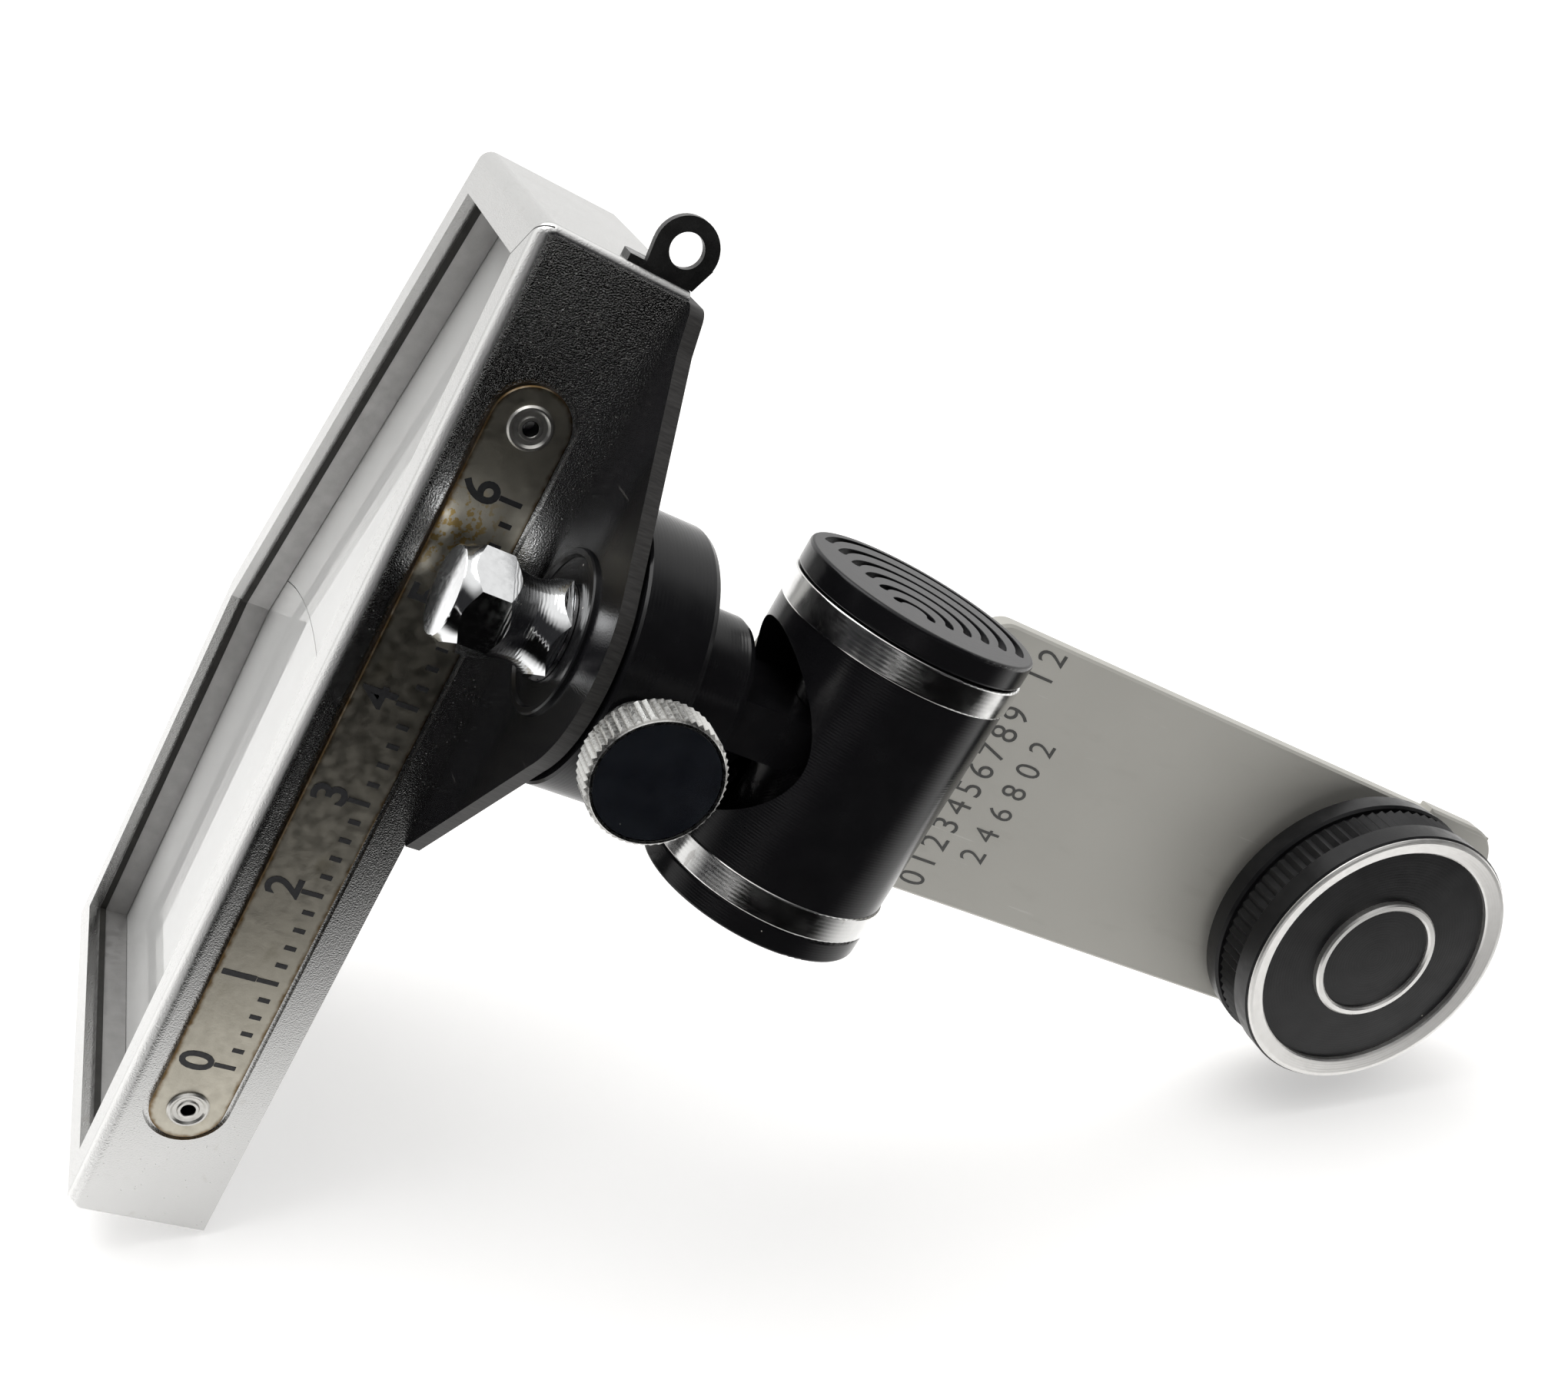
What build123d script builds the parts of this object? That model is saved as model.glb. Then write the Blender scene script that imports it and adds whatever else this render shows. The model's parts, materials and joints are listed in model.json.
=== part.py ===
"""Close-up attachment for a camera's view and range finder.

A five-sided optical window frame hangs on a black swivel boss and a hinge barrel.  A flat arm runs from
the barrel to a knob with a 1/4 inch tripod screw.

The parts are drawn in the frame's own directions: X runs through the window from front to rear, Y across it
away from the nameplate wall, and Z along its long side.  At the end everything is leaned over together,
until the bottom rear edge of the frame and the end corner of the arm stand on one level surface.
All sizes are in millimetres.
"""
from build123d import *
from math import asin, atan2, cos, degrees, hypot, radians, sin
import os

# ---- window frame -------------------------------------------------------------------------------
FRAME_LENGTH = 76.0
FRAME_DEPTH = 10.0
FRAME_TOP_WIDTH = 21.0
FRAME_BOTTOM_WIDTH = 37.0
FRAME_BEND_HEIGHT = 35.0      # where the far side starts to slant towards the narrow top
WALL = 0.8                    # sheet thickness
RIM_WIDTH = 3.0               # width of the front rim around the window
REAR_RIM_WIDTH = 4.4
FRONT_ROUND = 1.0             # rounding of the folded front edges
CORNER_ROUND = 0.6            # rounding of the corners between the walls
STACK_GAP = 0.05              # gap between the pieces stacked behind the rim

# depths of the stack behind the front rim, front face of each piece
LENS_CELL_X = WALL
FRONT_SPACER_X = 1.35
FRONT_GLASS_X = 3.2
MIDDLE_SPACER_X = 4.8
REAR_GLASS_X = 7.6
BACK_PLATE_X = 9.1
LENS_SPLIT_Z = 40.0           # where the curved joint between the two front glasses crosses the middle
LENS_SPLIT_RADIUS = 46.0

# ---- nameplate on the near wall -------------------------------------------------------------------
NAMEPLATE_WIDTH = 5.2
NAMEPLATE_LOW_Z = 10.9        # centre of the lower eyelet and of the plate's round end
NAMEPLATE_HIGH_Z = 64.7
NAMEPLATE_X = 4.75
NAMEPLATE_THICK = 0.5
NAMEPLATE_PROUD = 0.22
NAMEPLATE_GROOVE = 0.4        # gap left around the plate in its shallow recess
EYELET_RADIUS = 1.45
EYELET_HOLE = 0.45
EYELET_TUBE = 0.78             # outside radius of the eyelet's tube through the wall

# ---- bracket plate and swivel boss ------------------------------------------------------------------
AXIS_Y = -5.7                 # the swivel axis runs along X at this Y and Z
AXIS_Z = 55.15
PLATE_THICK = 1.0
PLATE_LOBE_RADIUS = 8.8
PLATE_INNER_Y = 4.0
PLATE_TOP_Z = 75.5
PLATE_TOP_ROUND = 1.3
PLATE_BOTTOM_Z = 35.4
BOSS_RADIUS = 9.2
BOSS_FRONT_X = 11.25
BOSS_REAR_X = 16.2
SPIGOT_RADIUS = 5.35
SPIGOT_FRONT_X = 9.7
JOURNAL_RADIUS = 5.1
JOURNAL_FRONT_X = 13.0
JOURNAL_REAR_X = 21.5
SPINDLE_RADIUS = 2.0
RUNNING_GAP = 0.05            # radial clearance of the running fits
FREE_GAP = 0.3                # clearance between surfaces of different bodies that don't guide each other

BRACKET_SCREW_Y = 2.3
BRACKET_SCREW_Z = (39.0, 55.0, 71.0)
BRACKET_SCREW_RADIUS = 0.8
BRACKET_HEAD_RADIUS = 1.5

# ---- strap lug on the top wall ----------------------------------------------------------------------
LUG_NEAR_Y = 0.8
LUG_THICK = 0.6
LUG_HOLE_X = 8.77
LUG_HOLE_Z = 78.0
LUG_RADIUS = 2.05
LUG_HOLE_RADIUS = 1.1
LUG_BASE_FRONT_X = 6.9        # the ear narrows towards its base, between these two depths
LUG_BASE_REAR_X = 10.2
LUG_FOOT_THICK = 0.42
LUG_FOOT_FRONT_X = 5.75
LUG_FOOT_FAR_Y = 2.9

# ---- hexagonal knob on the spindle -------------------------------------------------------------------
HEX_FRONT_X = 2.65
HEX_REAR_X = 9.6
HEX_CORNER_RADIUS = 3.5
HEX_FACE_RADIUS = 2.85        # round front face
HEX_BAND_START = 1.2          # distances from the front face: full corners start and end, waist
HEX_BAND_END = 3.0
HEX_WAIST = 4.97
HEX_WAIST_RADIUS = 2.65

# ---- clamp screw in the side of the boss ---------------------------------------------------------------
CLAMP_X = 13.5
CLAMP_Z = 54.3
CLAMP_WHEEL_RADIUS = 4.08
CLAMP_WHEEL_OUTER_Y = -20.6
CLAMP_WHEEL_THICK = 2.5
CLAMP_SCREW_RADIUS = 1.5
CLAMP_TEETH = 54

# ---- hinge barrel ----------------------------------------------------------------------------------------
BARREL_X = 31.2               # the hinge axis runs along Z at this X and AXIS_Y
BARREL_Z = 54.6               # middle of the barrel
DRUM_RADIUS = 8.2
DRUM_HALF = 7.85
DRUM_BORE = 5.6
RING_RADIUS = 8.3
RING_THICK = 2.0
CAP_RADIUS = 8.2
CAP_THICK = 1.75
CAP_GAP = 0.05
AXLE_RADIUS = 2.0
WINDOW_RADIUS = 6.5           # round window in the drum where the blade comes in
BLADE_WIDTH = 8.6
BLADE_THICK = 3.5
BLADE_Z = 55.2
EYE_RADIUS = 4.3
BUSH_RADIUS = 4.2
GROOVES = 6
GROOVE_WIDTH = 0.62
GROOVE_DEPTH = 0.4

# ---- arm and tripod knob -----------------------------------------------------------------------------------
ARM_FRONT_Y = 0.8             # face of the arm towards the knob
ARM_THICK = 1.7
ARM_HALF_WIDTH = 11.05
ARM_NECK_HALF = 7.6           # half width of the neck that is screwed to the drum
ARM_START_X = 26.4
ARM_SHOULDER_X = 41.2
ARM_END_X = 97.9
ARM_END_ROUND = 4.0
ARM_HEAD_START_X = 88.2       # the arm is a little wider from here to its end
ARM_HEAD_HALF_WIDTH = 11.4
KNOB_X = 84.5
KNOB_RADIUS = 11.6
KNOB_FACE_Y = -7.1
KNOB_BACK_Y = 0.3
KNURL_TEETH = 84
RING_OUTER = 11.45            # bright bevel ring in the knob's face
RING_INNER = 10.0
INNER_RING_OUTER = 5.35
INNER_RING_INNER = 4.7
TRIPOD_SCREW_RADIUS = 3.175
TRIPOD_SCREW_END_Y = 8.3

CLIP_SEAT_RADIUS = 4.9        # recess in the arm's rear face for the spring clip
CLIP_SEAT_DEPTH = 0.85
ARM_SCREW_RADIUS = 0.8
ARM_SCREW_HEAD = 1.5
ARM_SCREWS = [(BARREL_X + dx, BARREL_Z + dz) for dx in (-3.2, 3.2) for dz in (-6.3, 6.3)]

PARTS = {}


def add(name, shape):
    """Keep a piece under its node name."""
    PARTS[name] = shape


def outline(inset):
    """Window outline in the YZ plane, moved inwards by inset, as a face at X = 0."""
    corners = [
        (0, 0),
        (FRAME_BOTTOM_WIDTH, 0),
        (FRAME_BOTTOM_WIDTH, FRAME_BEND_HEIGHT),
        (FRAME_TOP_WIDTH, FRAME_LENGTH),
        (0, FRAME_LENGTH),
    ]
    face = Plane.YZ * make_face(Polyline(*corners, close=True))
    if inset:
        face = offset(face, amount=-inset, kind=Kind.INTERSECTION)
    return face


def slab(inset, x_start, x_end):
    """The window outline, inset, as a slab from x_start to x_end."""
    return Pos(x_start, 0, 0) * extrude(outline(inset), amount=x_end - x_start, dir=(1, 0, 0))


def frame_ring(outer_inset, inner_inset, x_start, x_end):
    """A flat ring of the window's outline with an opening in it."""
    return slab(outer_inset, x_start, x_end) - slab(inner_inset, x_start - 1, x_end + 1)


def x_cylinder(radius, x_start, x_end, y=AXIS_Y, z=AXIS_Z):
    """A cylinder along X."""
    middle = Pos((x_start + x_end) / 2, y, z)
    return middle * Rot(0, 90, 0) * Cylinder(radius, x_end - x_start)


def y_cylinder(radius, y_start, y_end, x, z):
    """A cylinder along Y."""
    middle = Pos(x, (y_start + y_end) / 2, z)
    return middle * Rot(90, 0, 0) * Cylinder(radius, y_end - y_start)


def z_cylinder(radius, z_start, z_end, x=BARREL_X, y=AXIS_Y):
    """A cylinder along Z."""
    return Pos(x, y, (z_start + z_end) / 2) * Cylinder(radius, z_end - z_start)


def turned(profile, plane):
    """Revolve a closed profile of (radius, distance) points about the axis of a plane."""
    face = make_face(Polyline(*profile, close=True))
    return plane.location * revolve(Plane.XZ * face, axis=Axis.Z)


def stadium_x(width, z_low, z_high, y_start, y_end, x):
    """A plate with round ends that runs along Z, facing Y."""
    length = z_high - z_low
    straight = Pos(x, (y_start + y_end) / 2, (z_low + z_high) / 2) * Box(width, y_end - y_start, length)
    ends = y_cylinder(width / 2, y_start, y_end, x, z_low) + y_cylinder(width / 2, y_start, y_end, x, z_high)
    return straight + ends


def knurled(radius, depth, teeth, thickness):
    """A wheel along Z with straight V-shaped teeth around its edge."""
    points = []
    for i in range(teeth):
        for step, reach in ((0.0, radius), (0.5, radius - depth)):
            angle = radians(360 * (i + step) / teeth)
            points.append((reach * cos(angle), reach * sin(angle)))
    return extrude(make_face(Polyline(*points, close=True)), amount=thickness)


# ---- window head ---------------------------------------------------------------------------------------------
def frame_shell():
    """Folded shell: front rim, five walls, a shallow recess for the nameplate and its fixing holes."""
    body = slab(0, 0, FRAME_DEPTH)
    wall_corners = body.edges().filter_by(Axis.X)
    body = fillet(wall_corners, CORNER_ROUND)
    front_edges = body.faces().sort_by(Axis.X)[0].edges()
    body = fillet(front_edges, FRONT_ROUND)
    body -= slab(WALL, WALL, FRAME_DEPTH + 1)
    body -= slab(RIM_WIDTH, -1, FRAME_DEPTH)
    body -= stadium_x(NAMEPLATE_WIDTH + 2 * NAMEPLATE_GROOVE, NAMEPLATE_LOW_Z, NAMEPLATE_HIGH_Z,
                      -1, NAMEPLATE_THICK - NAMEPLATE_PROUD, NAMEPLATE_X)
    for z in (NAMEPLATE_LOW_Z, NAMEPLATE_HIGH_Z):
        body -= y_cylinder(EYELET_TUBE, -1, WALL + 1, NAMEPLATE_X, z)
    return body


def glass_split(side):
    """Half space above (+1) or below (-1) the curved joint between the two front glasses."""
    gap = 0.04 * side
    centre_z = LENS_SPLIT_Z - LENS_SPLIT_RADIUS
    disc = x_cylinder(LENS_SPLIT_RADIUS + gap, -1, FRAME_DEPTH, FRAME_BOTTOM_WIDTH / 2, centre_z)
    return disc


def build_window():
    add("frame_shell", frame_shell())
    inner = WALL + STACK_GAP
    add("lens_cell", frame_ring(inner, RIM_WIDTH + 0.35, LENS_CELL_X, FRONT_SPACER_X - STACK_GAP))
    add("front_spacer", frame_ring(inner, RIM_WIDTH + 0.15, FRONT_SPACER_X, FRONT_GLASS_X - STACK_GAP))
    glass = slab(inner, FRONT_GLASS_X, MIDDLE_SPACER_X - STACK_GAP)
    add("viewfinder_lens", glass - glass_split(+1))
    add("rangefinder_lens", glass & glass_split(-1))
    add("middle_spacer", frame_ring(inner, RIM_WIDTH + 0.5, MIDDLE_SPACER_X, REAR_GLASS_X - STACK_GAP))
    add("rear_glass", slab(inner, REAR_GLASS_X, BACK_PLATE_X - STACK_GAP))
    back = frame_ring(inner, REAR_RIM_WIDTH, BACK_PLATE_X, FRAME_DEPTH)
    for z in BRACKET_SCREW_Z:
        back -= x_cylinder(BRACKET_SCREW_RADIUS, BACK_PLATE_X - 1, FRAME_DEPTH + 1, BRACKET_SCREW_Y, z)
    add("back_plate", back)


def build_nameplate():
    plate_back = NAMEPLATE_THICK - NAMEPLATE_PROUD
    plate = stadium_x(NAMEPLATE_WIDTH, NAMEPLATE_LOW_Z, NAMEPLATE_HIGH_Z, -NAMEPLATE_PROUD, plate_back,
                      NAMEPLATE_X)
    rim = plate.faces().sort_by(Axis.Y)[0].edges()
    plate = chamfer(rim, 0.08)
    eyelets = []
    for z in (NAMEPLATE_LOW_Z, NAMEPLATE_HIGH_Z):
        plate -= y_cylinder(EYELET_TUBE, -1, WALL + 1, NAMEPLATE_X, z)
        top = NAMEPLATE_PROUD
        profile = [
            (EYELET_HOLE, -WALL),
            (EYELET_TUBE, -WALL),
            (EYELET_TUBE, top),
            (EYELET_RADIUS, top),
            (EYELET_RADIUS, top + 0.12),
            (EYELET_RADIUS - 0.12, top + 0.26),
            (EYELET_RADIUS - 0.24, top + 0.26),
            (EYELET_RADIUS - 0.4, top + 0.12),
            (EYELET_TUBE, top + 0.1),
            (EYELET_TUBE - 0.08, top + 0.22),
            (EYELET_HOLE + 0.08, top + 0.22),
            (EYELET_HOLE, top + 0.1),
        ]
        seat = Plane(origin=(NAMEPLATE_X, 0, z), x_dir=(1, 0, 0), z_dir=(0, -1, 0))
        eyelets.append(turned(profile, seat))
    add("nameplate", plate)
    add("nameplate_eyelets", Compound(children=eyelets))


# ---- bracket plate, its screws and the strap lug ------------------------------------------------------------------
def bracket_plate():
    """Flat lobe around the boss, joined to a straight inner edge behind the near wall of the frame."""
    x_start = FRAME_DEPTH
    lobe = x_cylinder(PLATE_LOBE_RADIUS, x_start, x_start + PLATE_THICK)
    reach = PLATE_LOBE_RADIUS
    top_tangent = (AXIS_Y - reach * cos(radians(38)), AXIS_Z + reach * sin(radians(38)))
    low_tangent = (AXIS_Y - reach * cos(radians(44)), AXIS_Z - reach * sin(radians(44)))
    points = [
        (PLATE_INNER_Y, PLATE_BOTTOM_Z),
        (PLATE_INNER_Y, PLATE_TOP_Z),
        (-0.8, PLATE_TOP_Z),
        (-2.2, PLATE_TOP_Z - 2.6),
        top_tangent,
        (AXIS_Y, AXIS_Z),
        low_tangent,
        (-0.2, PLATE_BOTTOM_Z),
    ]
    web = extrude(Plane.YZ * make_face(Polyline(*points, close=True)), amount=PLATE_THICK, dir=(1, 0, 0))
    top_corner = web.edges().filter_by(Axis.X).sort_by_distance(Vector(0, -0.8, PLATE_TOP_Z))[0]
    web = fillet(top_corner, PLATE_TOP_ROUND)
    plate = lobe + Pos(x_start, 0, 0) * web
    plate -= x_cylinder(SPIGOT_RADIUS, x_start - 1, x_start + PLATE_THICK + 1)
    for z in BRACKET_SCREW_Z:
        plate -= countersunk_screw(BRACKET_SCREW_RADIUS, BRACKET_HEAD_RADIUS, PLATE_THICK + 1, z, False)
    return plate


def countersunk_screw(radius, head_radius, length, z, slotted):
    """A flat-head screw along X, with its head flush in the rear face of the bracket plate."""
    head = head_radius - radius
    profile = [(0, 0), (head_radius, 0), (radius, head), (radius, length), (0, length)]
    rear = FRAME_DEPTH + PLATE_THICK
    seat = Plane(origin=(rear, BRACKET_SCREW_Y, z), x_dir=(0, 1, 0), z_dir=(-1, 0, 0))
    screw = turned(profile, seat)
    if slotted:
        screw -= Pos(rear, BRACKET_SCREW_Y, z) * Rot(35, 0, 0) * Box(0.7, 4, 0.4)
    return screw


def build_bracket():
    add("bracket_plate", bracket_plate())
    length = FRAME_DEPTH + PLATE_THICK - BACK_PLATE_X
    screws = [countersunk_screw(BRACKET_SCREW_RADIUS, BRACKET_HEAD_RADIUS, length, z, True)
              for z in BRACKET_SCREW_Z]
    add("bracket_screws", Compound(children=screws))


def build_lug():
    """Sheet ear with a round hole, bent up from a short foot that is welded to the top wall."""
    far_y = LUG_NEAR_Y + LUG_THICK
    ear = y_cylinder(LUG_RADIUS, LUG_NEAR_Y, far_y, LUG_HOLE_X, LUG_HOLE_Z)
    sides = [
        (LUG_HOLE_X - LUG_RADIUS, LUG_HOLE_Z - 0.2),
        (LUG_BASE_FRONT_X, FRAME_LENGTH),
        (LUG_BASE_REAR_X, FRAME_LENGTH),
        (LUG_HOLE_X + LUG_RADIUS, LUG_HOLE_Z - 0.4),
    ]
    web = extrude(Plane.XZ * make_face(Polyline(*sides, close=True)), amount=LUG_THICK, dir=(0, 1, 0))
    ear += Pos(0, LUG_NEAR_Y, 0) * web
    ear &= Pos(LUG_HOLE_X, far_y, FRAME_LENGTH + 10) * Box(20, 20, 20)
    foot_middle = Pos((LUG_FOOT_FRONT_X + FRAME_DEPTH) / 2, (LUG_NEAR_Y + LUG_FOOT_FAR_Y) / 2,
                      FRAME_LENGTH + LUG_FOOT_THICK / 2)
    foot = foot_middle * Box(FRAME_DEPTH - LUG_FOOT_FRONT_X, LUG_FOOT_FAR_Y - LUG_NEAR_Y, LUG_FOOT_THICK)
    foot = fillet(foot.edges().filter_by(Axis.Z).group_by(Axis.Y)[-1], 0.6)
    lug = ear + foot
    lug -= y_cylinder(LUG_HOLE_RADIUS, LUG_NEAR_Y - 1, far_y + 1, LUG_HOLE_X, LUG_HOLE_Z)
    add("strap_lug", lug)


# ---- swivel boss, shaft and knobs -------------------------------------------------------------------------------------
def x_turned(profile, origin_x=0.0, y=AXIS_Y, z=AXIS_Z):
    """Revolve (radius, x) points about the X axis through (y, z)."""
    seat = Plane(origin=(origin_x, y, z), x_dir=(0, 1, 0), z_dir=(1, 0, 0))
    return turned(profile, seat)


def build_boss():
    plate_rear = FRAME_DEPTH + PLATE_THICK
    journal_bore = JOURNAL_RADIUS + RUNNING_GAP
    spindle_bore = SPINDLE_RADIUS + RUNNING_GAP
    shoulder_x = JOURNAL_FRONT_X - 0.5
    profile = [
        (spindle_bore, SPIGOT_FRONT_X + 0.2),
        (SPIGOT_RADIUS - 0.6, SPIGOT_FRONT_X + 0.2),
        (SPIGOT_RADIUS - 0.45, SPIGOT_FRONT_X),
        (SPIGOT_RADIUS - 0.1, SPIGOT_FRONT_X),
        (SPIGOT_RADIUS, SPIGOT_FRONT_X + 0.1),
        (SPIGOT_RADIUS, plate_rear),
        (BOSS_RADIUS - 0.9, plate_rear),
        (BOSS_RADIUS - 0.9, BOSS_FRONT_X),
        (BOSS_RADIUS - 0.15, BOSS_FRONT_X),
        (BOSS_RADIUS, BOSS_FRONT_X + 0.15),
        (BOSS_RADIUS, BOSS_REAR_X - 0.5),
        (BOSS_RADIUS - 0.15, BOSS_REAR_X - 0.15),
        (BOSS_RADIUS - 0.5, BOSS_REAR_X),
        (journal_bore, BOSS_REAR_X),
        (journal_bore, shoulder_x),
        (spindle_bore, shoulder_x),
    ]
    boss = x_turned(profile)
    boss -= y_cylinder(CLAMP_SCREW_RADIUS + RUNNING_GAP, AXIS_Y - BOSS_RADIUS - 1,
                       AXIS_Y - JOURNAL_RADIUS + 0.5, CLAMP_X, CLAMP_Z)
    add("boss_housing", boss)
    washer = x_cylinder(JOURNAL_RADIUS - 0.2, shoulder_x, JOURNAL_FRONT_X - 0.05)
    washer -= x_cylinder(SPINDLE_RADIUS + 0.3, shoulder_x - 1, JOURNAL_FRONT_X + 1)
    add("friction_washer", washer)


def build_shaft():
    """Journal, front spindle, blade and eye are one piece; the eye turns on the hinge axle."""
    profile = [
        (0, HEX_FRONT_X + 1.3),
        (SPINDLE_RADIUS, HEX_FRONT_X + 1.3),
        (SPINDLE_RADIUS, JOURNAL_FRONT_X),
        (JOURNAL_RADIUS, JOURNAL_FRONT_X),
        (JOURNAL_RADIUS, JOURNAL_REAR_X - 0.6),
        (JOURNAL_RADIUS - 0.18, JOURNAL_REAR_X - 0.18),
        (JOURNAL_RADIUS - 0.6, JOURNAL_REAR_X),
        (0, JOURNAL_REAR_X),
    ]
    shaft = x_turned(profile)
    low = BLADE_Z - BLADE_THICK / 2
    high = BLADE_Z + BLADE_THICK / 2
    start = JOURNAL_REAR_X - 0.5
    blade = Pos((start + BARREL_X) / 2, AXIS_Y, BLADE_Z) * Box(BARREL_X - start, BLADE_WIDTH, BLADE_THICK)
    eye = z_cylinder(EYE_RADIUS, low, high)
    shaft = shaft + blade + eye
    shaft -= z_cylinder(AXLE_RADIUS + RUNNING_GAP, low - 1, high + 1)
    add("swivel_shaft", shaft)


def build_hex_knob():
    """Hexagonal bar: a domed front end, a short band of full flats, a turned waist and a flared rear end."""
    spindle_bore = SPINDLE_RADIUS + RUNNING_GAP
    length = HEX_REAR_X - HEX_FRONT_X
    flats = extrude(RegularPolygon(HEX_CORNER_RADIUS, 6, rotation=30), amount=length)
    seat = Plane(origin=(HEX_FRONT_X, AXIS_Y, AXIS_Z), x_dir=(0, 1, 0), z_dir=(1, 0, 0))
    bar = seat.location * flats
    full = HEX_CORNER_RADIUS + 0.02
    path = [
        ThreePointArc((0, 0), (HEX_FACE_RADIUS / 2, 0.02), (HEX_FACE_RADIUS - 0.06, 0.08)),
        Line((HEX_FACE_RADIUS - 0.06, 0.08), (HEX_FACE_RADIUS, 0.14)),
        ThreePointArc((HEX_FACE_RADIUS, 0.14), (HEX_FACE_RADIUS + 0.2, 0.68), (full, HEX_BAND_START)),
        Line((full, HEX_BAND_START), (full, HEX_BAND_END)),
        ThreePointArc((full, HEX_BAND_END), (HEX_WAIST_RADIUS, HEX_WAIST), (full, length)),
        Line((full, length), (0, length)),
        Line((0, length), (0, 0)),
    ]
    turned_shape = seat.location * revolve(Plane.XZ * make_face(Curve() + path), axis=Axis.Z)
    knob = bar & turned_shape
    knob -= x_cylinder(spindle_bore, HEX_FRONT_X + 1.2, HEX_REAR_X + 1)
    add("hex_knob", knob)
    washer = x_cylinder(3.2, HEX_REAR_X + 0.05, SPIGOT_FRONT_X + 0.15)
    washer -= x_cylinder(spindle_bore, HEX_REAR_X, SPIGOT_FRONT_X + 1)
    add("knob_thrust_washer", washer)


def build_clamp_screw():
    wheel_inner_y = CLAMP_WHEEL_OUTER_Y + CLAMP_WHEEL_THICK
    boss_near_y = AXIS_Y - BOSS_RADIUS
    tip_y = AXIS_Y - JOURNAL_RADIUS - 0.9
    rim = knurled(CLAMP_WHEEL_RADIUS, 0.16, CLAMP_TEETH, CLAMP_WHEEL_THICK)
    bevel = [
        (0, 0),
        (CLAMP_WHEEL_RADIUS - 0.25, 0),
        (CLAMP_WHEEL_RADIUS + 0.05, 0.3),
        (CLAMP_WHEEL_RADIUS + 0.05, CLAMP_WHEEL_THICK - 0.3),
        (CLAMP_WHEEL_RADIUS - 0.25, CLAMP_WHEEL_THICK),
        (0, CLAMP_WHEEL_THICK),
    ]
    rim &= turned(bevel, Plane.XY)
    seat = Plane(origin=(CLAMP_X, CLAMP_WHEEL_OUTER_Y, CLAMP_Z), x_dir=(1, 0, 0), z_dir=(0, 1, 0))
    wheel = seat.location * rim
    face_radius = CLAMP_WHEEL_RADIUS - 0.38
    face_depth = 0.5
    wheel -= y_cylinder(face_radius, CLAMP_WHEEL_OUTER_Y - 1, CLAMP_WHEEL_OUTER_Y + face_depth, CLAMP_X, CLAMP_Z)
    wheel += y_cylinder(2.3, wheel_inner_y - 0.1, boss_near_y - FREE_GAP, CLAMP_X, CLAMP_Z)
    wheel += y_cylinder(CLAMP_SCREW_RADIUS, wheel_inner_y, tip_y, CLAMP_X, CLAMP_Z)
    add("clamp_screw", wheel)
    face = y_cylinder(face_radius - 0.02, CLAMP_WHEEL_OUTER_Y + 0.06, CLAMP_WHEEL_OUTER_Y + face_depth,
                      CLAMP_X, CLAMP_Z)
    face = chamfer(face.faces().sort_by(Axis.Y)[0].edges(), 0.06)
    add("clamp_screw_face", face)
    pad = y_cylinder(CLAMP_SCREW_RADIUS - 0.1, tip_y, AXIS_Y - JOURNAL_RADIUS - FREE_GAP, CLAMP_X, CLAMP_Z)
    add("clamp_pad", pad)


# ---- hinge barrel -------------------------------------------------------------------------------------------------------
def arm_flat():
    """Everything beyond the arm's seat, for cutting the flat on the drum."""
    return Pos(BARREL_X, ARM_FRONT_Y + 10, BARREL_Z) * Box(40, 20, 2 * DRUM_HALF + 2)


def build_barrel():
    low = BARREL_Z - DRUM_HALF
    high = BARREL_Z + DRUM_HALF
    drum = z_cylinder(DRUM_RADIUS, low, high) - z_cylinder(DRUM_BORE, low - 1, high + 1)
    drum -= x_cylinder(WINDOW_RADIUS, BARREL_X - 12, BARREL_X, AXIS_Y, BARREL_Z)
    drum -= arm_flat()
    screw_seat = ARM_FRONT_Y
    for x, z in ARM_SCREWS:
        drum -= y_cylinder(ARM_SCREW_RADIUS, screw_seat - 3, screw_seat + 1, x, z)
    add("barrel_body", drum)
    bore = z_cylinder(AXLE_RADIUS, low - 10, high + 10)
    for name, start in (("lower_ring", low - RING_THICK), ("upper_ring", high)):
        ring = z_cylinder(RING_RADIUS, start, start + RING_THICK)
        rims = ring.edges().filter_by(GeomType.CIRCLE)
        ring = fillet(rims, 0.12)
        add(name, ring - bore)
    axle_low = low - RING_THICK - 0.9
    axle_high = high + RING_THICK + 1.0
    axle = z_cylinder(AXLE_RADIUS, axle_low, axle_high)
    add("hinge_axle", axle)
    blade_low = BLADE_Z - BLADE_THICK / 2
    blade_high = BLADE_Z + BLADE_THICK / 2
    bush_bore = z_cylinder(AXLE_RADIUS, low, high)
    add("lower_bush", z_cylinder(BUSH_RADIUS, low, blade_low - 0.05) - bush_bore)
    add("upper_bush", z_cylinder(BUSH_RADIUS, blade_high + 0.05, high - 0.6) - bush_bore)
    add("hinge_washer", z_cylinder(BUSH_RADIUS + 0.3, high - 0.6, high) - bush_bore)


def cap_blank(start, hole_start, hole_end, hole_radius):
    """Flat end cap with softly rounded edges and a blind hole for the axle."""
    cap = z_cylinder(CAP_RADIUS, start, start + CAP_THICK)
    cap = fillet(cap.edges().filter_by(GeomType.CIRCLE), 0.25)
    return cap - z_cylinder(hole_radius, hole_start, hole_end)


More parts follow.
